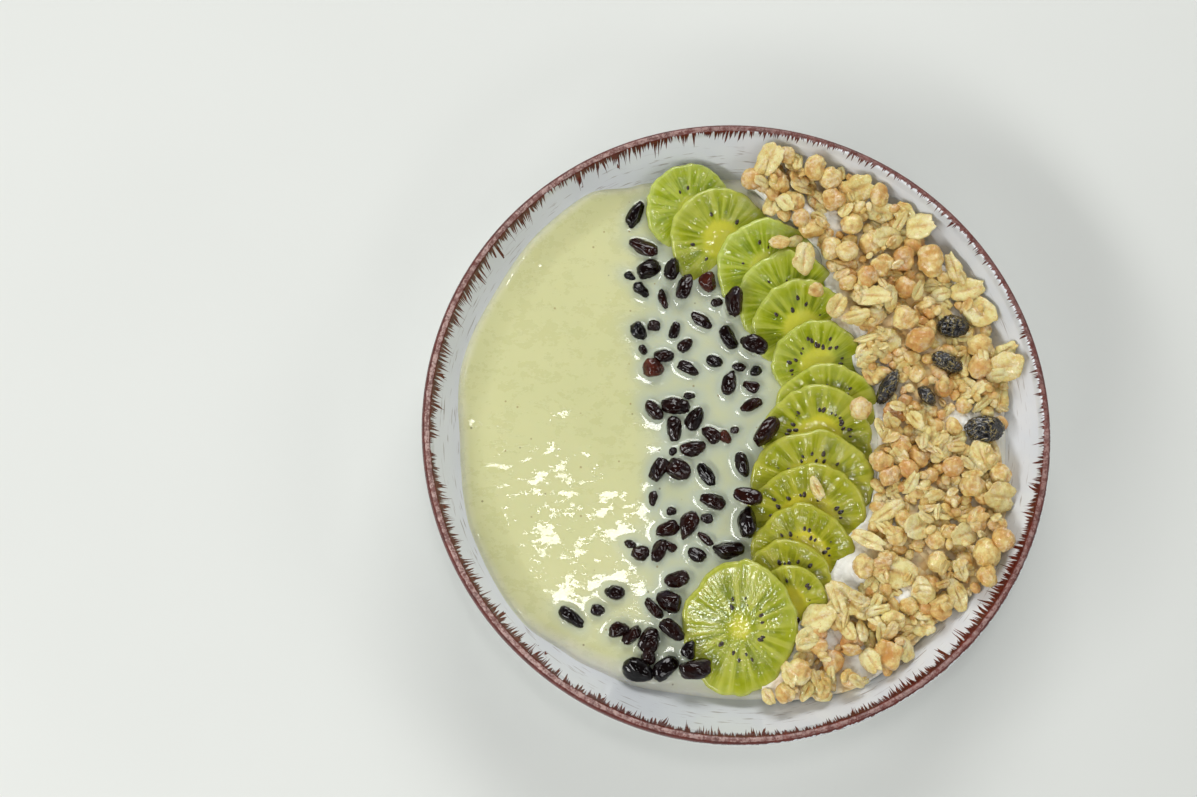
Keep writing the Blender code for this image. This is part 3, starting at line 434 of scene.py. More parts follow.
# ---------------------------------------------------------------- noise and meshes
def lattice(corner, seed):
    """A repeatable random number, 0 to 1, for each lattice corner."""
    mixed = corner[..., 0] * 374761393 + corner[..., 1] * 668265263 + corner[..., 2] * 1440662683
    mixed = (mixed + seed * 974634777) & 0xFFFFFFFF
    mixed = ((mixed ^ (mixed >> 13)) * 1274126177) & 0xFFFFFFFF
    mixed = ((mixed ^ (mixed >> 15)) * 668265263) & 0xFFFFFFFF
    return ((mixed ^ (mixed >> 16)) & 0xFFFFFF) / float(0xFFFFFF)


def noise(points, size, seed=0):
    """Smooth noise, -1 to 1, with lumps of about the given size."""
    spots = np.asarray(points, dtype=float) / size + 0.371 * (seed % 97)
    corner = np.floor(spots).astype(np.int64)
    part = spots - corner
    part = part * part * part * (part * (part * 6 - 15) + 10)
    total = np.zeros(len(spots))
    for step in np.ndindex(2, 2, 2):
        weight = np.prod(np.where(np.array(step), part, 1 - part), axis=1)
        total += weight * lattice(corner + np.array(step), seed)
    return total * 2 - 1


def layered(points, size, seed=0, layers=3):
    """Noise with finer noise on top."""
    total, weight = 0.0, 1.0
    for layer in range(layers):
        total = total + weight * noise(points, size, seed + 13 * layer)
        size, weight = size * 0.47, weight * 0.5
    return total / 1.6


def ridges(points, size, seed=0):
    """Sharp crests, 0 to 1, between rounded hollows."""
    return 1.0 - np.abs(noise(points, size, seed))


def ball(level):
    """Points and triangles of a unit sphere."""
    bm = bmesh.new()
    bmesh.ops.create_icosphere(bm, subdivisions=level, radius=1.0)
    points = np.array([vert.co[:] for vert in bm.verts])
    faces = [[vert.index for vert in face.verts] for face in bm.faces]
    bm.free()
    return points, faces


def disc_sheet(rings, spokes):
    """Unit disc as rings of points round one middle point, with its faces."""
    points = [(0.0, 0.0)]
    for ring in range(1, rings + 1):
        for spoke in range(spokes):
            angle = math.tau * spoke / spokes
            points.append((ring / rings * math.cos(angle), ring / rings * math.sin(angle)))
    faces = [[0, 1 + spoke, 1 + (spoke + 1) % spokes] for spoke in range(spokes)]
    for ring in range(rings - 1):
        start, after = 1 + ring * spokes, 1 + (ring + 1) * spokes
        for spoke in range(spokes):
            turn = (spoke + 1) % spokes
            faces.append([start + spoke, after + spoke, after + turn, start + turn])
    return np.array(points), faces


def closed_plate(top, bottom, faces, spokes, under=None):
    """Join a top and a bottom sheet along their outer rings; the bottom has its own faces or the top's."""
    count = len(top)
    lower = [[count + index for index in reversed(face)] for face in under or faces]
    first, second = count - spokes, count + len(bottom) - spokes
    side = [[first + i, second + i, second + (i + 1) % spokes, first + (i + 1) % spokes]
            for i in range(spokes)]
    return np.vstack((top, bottom)), faces + lower + side


def lifted(x, y, z):
    """Points over a plan, at one height or at a height each."""
    return np.column_stack((x, y, np.broadcast_to(z, np.shape(x))))


class Pile:
    """Shapes joined into one mesh, with named values on their points."""

    def __init__(self):
        self.points, self.faces, self.values, self.count = [], [], {}, 0

    def add(self, points, faces, **values):
        self.points.append(points)
        self.faces.extend([[index + self.count for index in face] for face in faces])
        for name, value in values.items():
            whole = np.broadcast_to(np.asarray(value, dtype=float), (len(points),))
            self.values.setdefault(name, []).append(whole)
        self.count += len(points)

    def build(self, name, material, slot, *nodes):
        """Make the object, riding on the bowl and standing for its CAD nodes."""
        mesh = bpy.data.meshes.new(name)
        mesh.from_pydata((np.vstack(self.points) * MM).tolist(), [], self.faces)
        for key, parts in self.values.items():
            layer = mesh.attributes.new(key, "FLOAT", "POINT")
            layer.data.foreach_set("value", np.concatenate(parts).astype(np.float32))
        mesh.shade_smooth()
        mesh.materials.append(material)
        obj = bpy.data.objects.new(name, mesh)
        bpy.context.scene.collection.objects.link(obj)
        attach(obj, "root")
        if nodes:
            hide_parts(*nodes)


def turned_about(points, angle):
    """Points turned about the Z axis."""
    cos, sin = math.cos(angle), math.sin(angle)
    x, y = points[:, 0] * cos - points[:, 1] * sin, points[:, 0] * sin + points[:, 1] * cos
    return np.column_stack((x, y, points[:, 2]))


def laid(points, lump):
    """A shape about its own middle, turned, leaned and moved to where its lump lies."""
    points = turned_about(points, lump.turn)
    points[:, 2] += points[:, 0] * lump.slope[0] + points[:, 1] * lump.slope[1]
    return points + np.array(lump.centre)


# ---------------------------------------------------------------- materials
def linear(red, green, blue):
    """A screen colour, 0 to 255, as Blender's linear colour."""
    def channel(value):
        value /= 255.0
        return value / 12.92 if value <= 0.04045 else ((value + 0.055) / 1.055) ** 2.4
    return (channel(red), channel(green), channel(blue), 1.0)


class Look:
    """A node material under construction; numbers and sockets can be passed alike."""

    def __init__(self, name, **settings):
        self.material = bpy.data.materials.new(name)
        self.material.use_nodes = True
        self.tree = self.material.node_tree
        self.shader = self.tree.nodes["Principled BSDF"]
        for key, value in settings.items():
            self.shader.inputs[key.replace("_", " ").title().replace("Ior", "IOR")].default_value = value
        self.place = self.node("ShaderNodeTexCoord").outputs["Object"]

    def node(self, kind, inputs=(), **options):
        node = self.tree.nodes.new(kind)
        for key, value in options.items():
            setattr(node, key, value)
        for key, value in dict(inputs).items():
            self.feed(node.inputs[key], value)
        return node

    def feed(self, socket, value):
        if isinstance(value, bpy.types.NodeSocket):
            self.tree.links.new(value, socket)
        else:
            socket.default_value = value

    def math(self, operation, first, second=0.0, third=0.0, clamp=False):
        inputs = {0: first, 1: second, 2: third}
        return self.node("ShaderNodeMath", inputs, operation=operation, use_clamp=clamp).outputs[0]

    def plus(self, first, *others):
        for other in others:
            first = self.math("ADD", first, other)
        return first

    def times(self, first, *others):
        for other in others:
            first = self.math("MULTIPLY", first, other)
        return first

    def less(self, first, second):
        return self.math("SUBTRACT", first, second)

    def line(self, value, slope, offset):
        """A value times a slope, plus an offset."""
        return self.math("MULTIPLY_ADD", value, slope, offset)

    def vector(self, operation, first, second=(0.0, 0.0, 0.0)):
        """Vector arithmetic; a SCALE takes a number as its second value."""
        inputs = {0: first, "Scale" if operation == "SCALE" else 1: second}
        return self.node("ShaderNodeVectorMath", inputs, operation=operation).outputs[0]

    def point(self, x=0.0, y=0.0, z=0.0):
        return self.node("ShaderNodeCombineXYZ", {0: x, 1: y, 2: z}).outputs[0]

    def value(self, name):
        """A value written on the mesh's points."""
        return self.node("ShaderNodeAttribute", attribute_name=name).outputs["Fac"]

    def noise(self, scale, detail=2.0, roughness=0.5, place=None, distortion=0.0):
        inputs = {"Vector": place or self.place, "Scale": scale, "Detail": detail,
                  "Roughness": roughness, "Distortion": distortion}
        return self.node("ShaderNodeTexNoise", inputs).outputs["Fac"]

    def cells(self, scale):
        """Distance to the nearest of scattered points, and a random value of that point."""
        node = self.node("ShaderNodeTexVoronoi", {"Vector": self.place, "Scale": scale, "Randomness": 1.0})
        own = self.node("ShaderNodeSeparateXYZ", {0: node.outputs["Color"]}).outputs[0]
        return node.outputs["Distance"], own

    def between(self, value, low, high, to_low=0.0, to_high=1.0):
        """Ease a value from low to high onto 0 to 1, or onto another range."""
        inputs = {"Value": value, "From Min": low, "From Max": high, "To Min": to_low, "To Max": to_high}
        return self.node("ShaderNodeMapRange", inputs, interpolation_type="SMOOTHSTEP").outputs["Result"]

    def ramp(self, value, *stops):
        """A colour or grey for a value: stops are (place, colour or number)."""
        node = self.node("ShaderNodeValToRGB", {"Fac": value})
        while len(node.color_ramp.elements) < len(stops):
            node.color_ramp.elements.new(0.5)
        for element, (where, colour) in zip(node.color_ramp.elements, stops):
            element.position = where
            element.color = colour if isinstance(colour, tuple) else (colour, colour, colour, 1.0)
        return node.outputs["Color"]

    def two_tone(self, value, first, second, low=0.3, high=0.7):
        """A colour between two screen colours, for a value from low to high."""
        return self.ramp(value, (low, linear(*first)), (high, linear(*second)))

    def mix(self, share, first, second):
        inputs = {0: share, 6: first, 7: second}
        return self.node("ShaderNodeMix", inputs, data_type="RGBA").outputs[2]

    def tint(self, colour, tint, *shares):
        """A colour mixed towards a tint, by the product of the shares."""
        return self.mix(self.times(*shares), colour, tint)

    def bump(self, height, strength, distance, normal=None):
        inputs = {"Height": height, "Strength": strength, "Distance": distance}
        if normal is not None:
            inputs["Normal"] = normal
        return self.node("ShaderNodeBump", inputs).outputs["Normal"]

    def finish(self, colour=None, roughness=None, normal=None):
        for key, socket in (("Base Color", colour), ("Roughness", roughness), ("Normal", normal)):
            if socket is not None:
                self.feed(self.shader.inputs[key], socket)
        return self.material


# rim paint by bearing: bearing / 360, width of the solid band in mm, reach of the teeth in mm, and
# the share of the teeth that are there
RIM_PAINT = ((0.0, -0.5, 1.6, 0.6), (0.08, -0.6, 1.6, 0.4), (0.20, -0.6, 1.8, 0.45), (0.25, -0.2, 2.4, 0.8),
             (0.34, 0.2, 3.8, 0.9), (0.355, -0.1, 1.0, 0.5), (0.37, 0.2, 3.8, 0.9), (0.50, 0.2, 3.6, 0.9),
             (0.51, 0.0, 1.0, 0.4), (0.525, 0.2, 3.8, 0.9), (0.64, 0.2, 3.6, 0.9), (0.655, 0.0, 2.6, 0.6),
             (0.67, 0.2, 3.0, 0.8), (0.78, 0.2, 2.8, 0.8), (0.785, 0.0, 1.2, 0.4), (0.80, 0.2, 3.0, 0.9),
             (0.86, 0.4, 3.8, 0.9), (0.87, 0.1, 2.0, 0.6), (0.88, 0.4, 3.8, 1.0), (0.95, 0.3, 3.2, 0.9),
             (0.98, -0.1, 2.6, 0.7))
PAINT_START = 105.0         # radius where the dark paint starts, inside the worn crest
PAINT_FOOT = 38.6           # height of the paint's outer edge, before its rags and its climb
PAINT_LOWEST = 34.0         # no paint lies below this
TEETH = (560.0, 1020.0)     # brush teeth round the rim, coarse and fine
# by bearing / 360: how far the outer edge climbs, and how pale the crest is, partly rubbed thin and partly a
# painted highlight, palest on the left
OUTER_CLIMB = ((0.0, 0.75), (0.05, 0.55), (0.25, 0.45), (0.5, 0.2), (0.7, 0.25), (0.78, 0.95), (1.0, 0.9))
CREST_RUBBED_AND_LIT = ((0.0, 0.3), (0.2, 0.25), (0.32, 0.85), (0.55, 1.0), (0.7, 0.8), (0.8, 0.5), (1.0, 0.5))


def bowl_measures(look):
    """A point's radius and height in mm, its heading, and its bearing as a share of a full turn."""
    x, y, z = look.node("ShaderNodeSeparateXYZ", {0: look.place}).outputs
    radius = look.times(look.math("SQRT", look.plus(look.times(x, x), look.times(y, y))), 1000.0)
    heading = look.vector("NORMALIZE", look.point(x, y))
    bearing = look.math("FRACT", look.math("DIVIDE", look.math("ARCTAN2", y, x), math.tau))
    return radius, look.times(z, 1000.0), heading, bearing


def paint_teeth(look, radius, heading, bearing, share_there):
    """Slanting brush teeth round the rim, coarse and fine; only a share of them is there."""
    sway = look.line(look.noise(22.0, 2.0, 0.6, place=heading), 0.0036, -0.0016)
    swayed = look.plus(bearing, look.times(look.less(radius, PAINT_START), sway))
    tooth = 0.0
    for count, size in zip(TEETH, (1.0, 0.7)):
        cell = look.node("ShaderNodeTexVoronoi", {"W": look.times(swayed, count), "Scale": 1.0},
                         voronoi_dimensions="1D")
        pick = look.node("ShaderNodeSeparateColor", {0: cell.outputs["Color"]}).outputs
        rise = look.math("SUBTRACT", 1.0, look.times(cell.outputs["Distance"], 2.1), clamp=True)
        there = look.math("LESS_THAN", pick[0], share_there)
        rise = look.times(rise, there, look.line(pick[1], 0.8 * size, 0.2 * size))
        tooth = look.math("MAXIMUM", tooth, rise)
    return tooth


def rim_paint(look, radius, height, heading, bearing):
    """Where the rim is painted: solid near the crest, torn into teeth inside and ragged outside."""
    widths = look.ramp(bearing, *[(place, ((solid + 1.0) / 5.0, teeth / 5.0, share, 1.0))
                                  for place, solid, teeth, share in RIM_PAINT])
    split = look.node("ShaderNodeSeparateColor", {0: widths}).outputs
    solid, reach = look.line(split[0], 5.0, -1.0), look.times(split[1], 5.0)
    tooth = paint_teeth(look, radius, heading, bearing, split[2])
    rough = look.line(look.noise(90.0, 2.0, 0.6, place=heading), 1.0, -0.5)
    clump = look.between(look.noise(26.0, 2.0, 0.6, place=heading), 0.32, 0.62, 0.55, 1.55)
    inward = look.plus(look.times(tooth, reach, clump), solid, rough)
    painted_in = look.between(look.less(radius, look.less(PAINT_START, inward)), -0.18, 0.18)
    ragged = look.between(look.noise(38.0, 3.0, 0.7, place=heading), 0.4, 0.75)
    climb = look.times(look.ramp(bearing, *OUTER_CLIMB), 3.0)
    lower = look.plus(look.line(ragged, -1.2, PAINT_FOOT), climb)
    painted_out = look.between(look.less(height, lower), -0.15, 0.15)
    outside = look.math("GREATER_THAN", radius, CREST_RADIUS)
    painted = look.node("ShaderNodeMix", {0: outside, 2: painted_in, 3: painted_out}).outputs[0]
    return look.times(painted, look.math("GREATER_THAN", height, PAINT_LOWEST))


def brown_worn_and_lit_crest(look, radius, heading, bearing):
    """The paint's brown, paler and pinkish on the crest: partly rubbed thin over the clay, partly a painted
    highlight.
    """
    mottle = look.between(look.noise(560.0, 4.0, 0.75), 0.42, 0.58)
    ragged = look.line(look.noise(420.0, 3.0, 0.7), 0.9, -0.45)
    off_crest = look.math("ABSOLUTE", look.less(radius, look.plus(ragged, 106.0)))
    crest = look.between(off_crest, 0.95, 0.6)
    patches = look.between(look.noise(24.0, 3.0, 0.6, place=heading), 0.3, 0.5, 0.55, 1.0)
    brown = look.two_tone(look.noise(300.0, 3.0, 0.6), (74, 12, 4), (106, 34, 24))
    # pinkish crest: partly wear, partly a painted highlight on the top-facing crest
    return look.tint(brown, linear(198, 168, 160), crest, look.ramp(bearing, *CREST_RUBBED_AND_LIT), patches,
                     look.line(mottle, 0.75, 0.25))


def wall_white(look, radius, bearing):
    """Greyish white glaze with faint throwing marks on the wall."""
    white = look.two_tone(look.noise(18.0, 3.0, 0.55), (216, 220, 223), (229, 232, 236))
    marks = look.point(look.times(radius, 2.0), look.times(bearing, 60.0), 3.0)
    band = look.times(look.between(radius, 92.5, 95.5), look.between(radius, 102.6, 101.0))
    dashes = look.between(look.noise(1.0, 2.0, 0.6, place=marks), 0.59, 0.70)
    return look.tint(white, linear(134, 116, 106), dashes, band, 0.6)


def glaze_look():
    look = Look("glaze_glossy", ior=1.45)
    radius, height, heading, bearing = bowl_measures(look)
    painted = rim_paint(look, radius, height, heading, bearing)
    colour = look.mix(painted, wall_white(look, radius, bearing), brown_worn_and_lit_crest(look, radius, heading, bearing))
    bare = look.math("LESS_THAN", height, 0.5)
    colour = look.mix(bare, colour, linear(186, 168, 146))
    roughness = look.node("ShaderNodeMix", {0: bare, 2: look.line(painted, 0.25, 0.07), 3: 0.75}).outputs[0]
    bump = look.bump(look.noise(160.0, 3.0, 0.5), 0.12, 0.0006)
    drips = look.times(look.noise(30.0, 3.0, 0.6, place=heading), look.between(radius, 103.6, 105.2))
    bump = look.bump(drips, 1.0, 0.0014, normal=bump)
    bump = look.bump(painted, 0.4, 0.00015, normal=bump)
    return look.finish(colour, roughness, bump)


def smoothie_look():
    look = Look("smoothie_blend", subsurface_weight=0.2, subsurface_radius=(0.004, 0.003, 0.0015),
                subsurface_scale=1.0, ior=1.5)
    cloud = look.noise(22.0, 4.0, 0.55)
    plain = look.two_tone(cloud, (208, 209, 152), (215, 214, 159))
    # bluish grey on the berry side and in a halo round each berry: partly berry stain, partly a painted
    # reflection of the meniscus
    juice_and_sheen_tint = look.two_tone(cloud, (187, 195, 172), (203, 210, 188))
    colour = look.mix(look.value("stain_and_sheen"), plain, juice_and_sheen_tint)
    # cream by the granola, a paler shore, and painted light where the near shore at the bottom lies in shade
    colour = look.mix(look.value("cream"), colour, linear(238, 236, 222))
    near, pick = look.cells(230.0)
    dark = look.two_tone(pick, (150, 120, 62), (92, 88, 60), 0.7, 1.0)
    colour = look.tint(colour, dark, look.between(near, 0.12, 0.06), look.between(pick, 0.6, 0.64), 0.6)
    # a torn film lies wet and glossy over the duller blend, and thickens beside the berries
    drawn = look.vector("MULTIPLY", look.place, (0.8, 1.15, 1.0))
    torn = look.plus(look.noise(190.0, 6.0, 0.74, place=drawn), look.times(look.value("stain_and_sheen"), 0.25))
    film = look.between(torn, 0.525, 0.55)
    bump = look.bump(look.noise(330.0, 2.0, 0.5, place=drawn), look.line(film, 0.5, 0.3), 0.00006)
    bump = look.bump(film, 0.5, 0.00008, normal=bump)
    return look.finish(colour, look.line(film, -0.36, 0.42), bump)


def berry_look():
    look = Look("berry_skin", ior=1.25, coat_weight=0.5, coat_roughness=0.02)
    skin = look.two_tone(look.noise(420.0, 3.0, 0.6), (3, 2, 2), (13, 5, 5), 0.3, 0.75)
    red = look.two_tone(look.noise(300.0, 3.0, 0.6), (40, 14, 11), (98, 44, 30), 0.3, 0.75)
    colour = look.mix(look.value("tone"), skin, red)
    bloom = look.between(look.noise(260.0, 3.0, 0.6, distortion=0.6), 0.6, 0.75)
    colour = look.tint(colour, linear(70, 76, 104), bloom, 0.08)
    roughness = look.between(look.noise(500.0, 2.0), 0.3, 0.7, 0.04, 0.12)
    bump = look.bump(look.noise(560.0, 2.0, 0.5), 0.5, 0.0004)
    return look.finish(colour, roughness, bump)


def raisin_look():
    look = Look("raisin_skin", ior=1.5, coat_weight=0.6, coat_roughness=0.05)
    crest = look.value("crest")
    # paler up each wrinkle's crest: a painted highlight on the wrinkles
    colour = look.ramp(crest, (0.25, linear(6, 5, 6)), (0.75, linear(22, 17, 17)), (1.0, linear(96, 82, 52)))
    folds = look.math("ABSOLUTE", look.less(look.noise(300.0, 3.0, 0.55, distortion=0.8), 0.5))
    crease = look.between(folds, 0.03, 0.004)
    # painted highlight along the fold lines
    colour = look.tint(colour, linear(168, 150, 92), crease, look.between(crest, 0.3, 0.7, 0.15, 0.85))
    bump = look.bump(look.between(folds, 0.12, 0.0), 0.6, 0.0005)
    return look.finish(colour, look.between(crest, 0.3, 0.9, 0.1, 0.2), bump)


KIWI_STREAKS = (6.0, 15.0)  # pale rays round a slice, broad and fine
# how yellow each slice is, and how far out its heart reaches
KIWI_RIPE = (0.0, 0.35, 0.0, 0.1, 0.25, 0.3, 0.5, 0.6, 0.75, 0.85, 0.9, 0.9, 0.8, 0.5)
KIWI_HEART = (0.36, 0.44, 0.42, 0.42, 0.46, 0.46, 0.54, 0.5, 0.56, 0.56, 0.58, 0.5, 0.5, 0.24)


def kiwi_look():
    look = Look("kiwi_flesh", subsurface_weight=0.4, subsurface_radius=(0.003, 0.0035, 0.0012),
                subsurface_scale=1.0, ior=1.5, coat_weight=0.5, coat_roughness=0.04)
    u, v, out, ripe, core, own, rough = (look.value(name) for name in (
        "across", "up", "reach", "ripe", "heart", "own", "rough"))
    spot = look.point(u, v, own)
    heading = look.vector("NORMALIZE", look.point(u, v))
    # rays run out from the core; they are noise drawn long along the radius
    along_ray = look.point(z=look.line(out, 0.9, look.times(own, 3.0)))
    broad, fine = (
        look.noise(1.0, 1.0, place=look.vector("ADD", look.vector("SCALE", heading, count), along_ray))
        for count in KIWI_STREAKS)
    uneven = look.line(look.noise(3.0, 2.0, place=spot), 0.16, -0.08)
    reach = look.plus(out, uneven, look.line(broad, 0.12, -0.06))
    cloud = look.noise(6.0, 3.0, 0.6, place=spot)
    flesh = look.mix(ripe, look.two_tone(cloud, (150, 168, 16), (176, 186, 42)),
                     look.two_tone(cloud, (140, 144, 8), (170, 170, 26)))
    deep = look.mix(ripe, linear(112, 136, 18), linear(110, 112, 10))
    pale = look.mix(ripe, linear(206, 214, 100), linear(196, 188, 64))
    heart = look.mix(ripe, linear(214, 214, 84), linear(220, 206, 50))
    edge_sheen = look.mix(ripe, linear(206, 216, 132), linear(186, 182, 72))
    # darker between the rays, paler along them, a pale heart, and a painted sheen on the edge and in patches
    colour = look.tint(flesh, deep, look.between(look.less(reach, core), -0.06, 0.06),
                       look.between(reach, 0.92, 0.56), look.between(broad, 0.56, 0.36, 0.1, 0.75))
    colour = look.tint(colour, pale, look.between(broad, 0.5, 0.64), look.between(reach, 0.26, 0.42), 0.5)
    colour = look.tint(colour, pale, look.between(fine, 0.54, 0.64), look.between(reach, 0.3, 0.4), 0.32)
    colour = look.mix(look.between(reach, core, look.less(core, 0.14), 0.0, 0.85), colour, heart)
    edge = look.between(look.plus(out, look.line(broad, 0.2, -0.1)), 0.82, 1.0)
    colour = look.tint(colour, edge_sheen, edge, 0.45)
    # whitish wet-looking patches: painted sheen
    colour = look.tint(colour, edge_sheen, look.between(look.noise(95.0, 3.0, 0.6), 0.45, 0.7), 0.25)
    roughness = look.between(look.noise(400.0, 2.0), 0.3, 0.7, 0.06, 0.15)
    patch = look.times(rough, look.between(look.noise(60.0, 2.0), 0.42, 0.62, 0.35, 1.0))
    bump = look.bump(look.noise(1000.0, 1.0, 0.5), patch, 0.00011)
    groove_depth = look.times(look.between(reach, 0.35, 0.7, 0.0, 0.35), look.math("POWER", rough, 3.0))
    bump = look.bump(look.plus(broad, look.times(fine, 0.5)), groove_depth, 0.0004, normal=bump)
    look.feed(look.shader.inputs["Coat Normal"], bump)      # the wet skin follows the same bumps
    return look.finish(colour, roughness, bump)


def seed_look():
    look = Look("kiwi_seed", ior=1.5, coat_weight=0.5, coat_roughness=0.1)
    colour = look.two_tone(look.noise(800.0, 2.0), (22, 18, 14), (70, 44, 26), 0.3, 0.8)
    return look.finish(colour, look.between(look.noise(900.0), 0.3, 0.7, 0.2, 0.4))


def toast_look(name, pale, mid, burnt, grain_scale=900.0):
    """Toasted cereal: its colour runs with the piece's own tone, with painted shade in its hollows."""
    look = Look(name, subsurface_weight=0.15, subsurface_radius=(0.002, 0.0012, 0.0006),
                subsurface_scale=1.0, ior=1.45, coat_weight=0.5, coat_roughness=0.08)
    patch = look.noise(270.0, 3.0, 0.65)
    own = look.value("tone")
    tone = look.line(look.between(patch, 0.3, 0.7), 0.62, look.line(own, 0.45, -0.08))
    colour = look.ramp(tone, (0.12, pale), (0.55, mid), (0.98, burnt))
    colour = look.tint(colour, linear(224, 178, 126), look.between(own, 0.5, 1.0), 0.2)
    # painted shade, orange-brown, in the hollows and creases
    colour = look.tint(colour, linear(198, 134, 54), look.value("hollow"), 0.7)
    fleck = look.between(look.noise(620.0, 4.0, 0.72, distortion=0.6), 0.54, 0.64)
    colour = look.tint(colour, linear(204, 126, 52), fleck, 0.42)
    grain = look.noise(grain_scale, 4.0, 0.65)
    sugar = look.between(look.noise(180.0, 2.0), 0.5, 0.6)
    colour = look.tint(colour, linear(252, 244, 214), sugar, look.between(grain, 0.35, 0.65), 0.45)
    bump = look.bump(grain, 0.6, 0.0005)
    bump = look.bump(look.noise(420.0, 3.0, 0.6), 0.7, 0.0012, normal=bump)
    return look.finish(colour, look.between(patch, 0.3, 0.7, 0.3, 0.55), bump)


def core_look():
    look = Look("granola_bed", ior=1.4)
    crumbs, pick = look.cells(420.0)
    colour = look.ramp(pick, (0.1, linear(238, 214, 152)), (0.5, linear(244, 234, 190)),
                       (0.9, linear(228, 194, 128)))
    # darker tan between the crumbs: painted shade in the crevices
    colour = look.mix(look.between(crumbs, 0.3, 0.7, 0.0, 0.7), colour, linear(220, 182, 116))
    colour = look.mix(look.value("cream"), colour, linear(244, 243, 234))
    bump = look.bump(crumbs, 0.8, -0.001)
    return look.finish(colour, look.between(look.value("cream"), 0.0, 1.0, 0.7, 0.25), bump)


def table_look():
    look = Look("table_paint", ior=1.4)
    colour = look.two_tone(look.noise(3.0, 3.0, 0.5), (225, 227, 222), (229, 231, 226))
    bump = look.bump(look.noise(140.0, 4.0, 0.6), 0.08, 0.0006)
    return look.finish(colour, look.between(look.noise(12.0), 0.3, 0.7, 0.42, 0.5), bump)


# ---------------------------------------------------------------- pieces
def lip_points():
    """The rounded lip, from the inner wall over the crest to the outside."""
    spots = [(LIP_INNER_RADIUS, LIP_INNER_HEIGHT), (105.1, 41.45), (CREST_RADIUS, RIM_HEIGHT),
             (107.35, 41.2), (RIM_RADIUS, 39.2), (RIM_RADIUS, OUTER_TOP_HEIGHT)]
    ends = [(103.2, wall_curve(103.2))] + spots + [(103.8, outside_height(103.8))]
    points = []
    for index in range(1, len(ends) - 2):
        before, start, end, after = (np.array(ends[index + i]) for i in (-1, 0, 1, 2))
        for step in range(6):
            t = step / 6.0
            points.append(0.5 * (2 * start + (end - before) * t
                                 + (2 * before - 5 * start + 4 * end - after) * t ** 2
                                 + (3 * start - before - 3 * end + after) * t ** 3))
    return [(float(min(point[0], RIM_RADIUS)), float(min(point[1], RIM_HEIGHT))) for point in points]


def build_bowl():
    """The turned bowl, smooth, with its hand's faint throwing rings on both walls."""
    spokes = 256
    inner = [(radius, wall_curve(radius)) for radius in np.linspace(2.0, 103.4, 44)]
    outer = [(float(radius), outside_height(radius))
             for radius in np.linspace(105.6, FOOT_OUTER_RADIUS + 0.6, 22)]
    foot = [(FOOT_OUTER_RADIUS, outside_height(FOOT_OUTER_RADIUS) - 0.3), (FOOT_OUTER_RADIUS - 0.3, 1.2),
            (FOOT_OUTER_RADIUS - 0.9, 0.2), (FOOT_OUTER_RADIUS - 1.6, 0.0), (FOOT_INNER_RADIUS + 1.2, 0.0),
            (FOOT_INNER_RADIUS + 0.5, 0.3), (FOOT_INNER_RADIUS - 0.2, 2.0), (FOOT_INNER_RADIUS - 0.9, 3.1),
            (FOOT_INNER_RADIUS - 2.2, FLOOR_UNDER), (30.0, FLOOR_UNDER), (2.0, FLOOR_UNDER)]
    section = inner + lip_points() + [(RIM_RADIUS, OUTER_TOP_HEIGHT)] + outer + foot
    points, faces = [], []
    for radius, height in section:
        wave = 0.12 * math.sin(height * 1.9) * math.sin(height * 0.37) if 12 < height < 38 else 0.0
        for spoke in range(spokes):
            angle = math.tau * spoke / spokes
            reach = radius - abs(wave)
            points.append((reach * math.cos(angle), reach * math.sin(angle), height))
    rings = len(section)
    for ring in range(rings - 1):
        for spoke in range(spokes):
            here, turn = ring * spokes, (spoke + 1) % spokes
            faces.append([here + turn, here + spoke, here + spokes + spoke, here + spokes + turn])
    for ring, height, flip in ((0, FLOOR_TOP, False), (rings - 1, FLOOR_UNDER, True)):
        points.append((0.0, 0.0, height))
        for spoke in range(spokes):
            face = [ring * spokes + spoke, ring * spokes + (spoke + 1) % spokes, len(points) - 1]
            faces.append(face[::-1] if flip else face)
    pile = Pile()
    pile.add(np.array(points), faces)
    pile.build("stoneware_bowl", glaze_look(), "glaze", "bowl")


def far_from(x, y, lump):
    """Distance outside a lump's outline, in mm, for arrays of points; below 0 inside."""
    away_x, away_y = x - lump.centre.x, y - lump.centre.y
    along_it = away_x * math.cos(lump.turn) + away_y * math.sin(lump.turn)
    across_it = away_y * math.cos(lump.turn) - away_x * math.sin(lump.turn)
    share = np.sqrt((along_it / lump.half[0]) ** 2 + (across_it / lump.half[1]) ** 2)
    return (share - 1) * 0.5 * (lump.half[0] + lump.half[1])


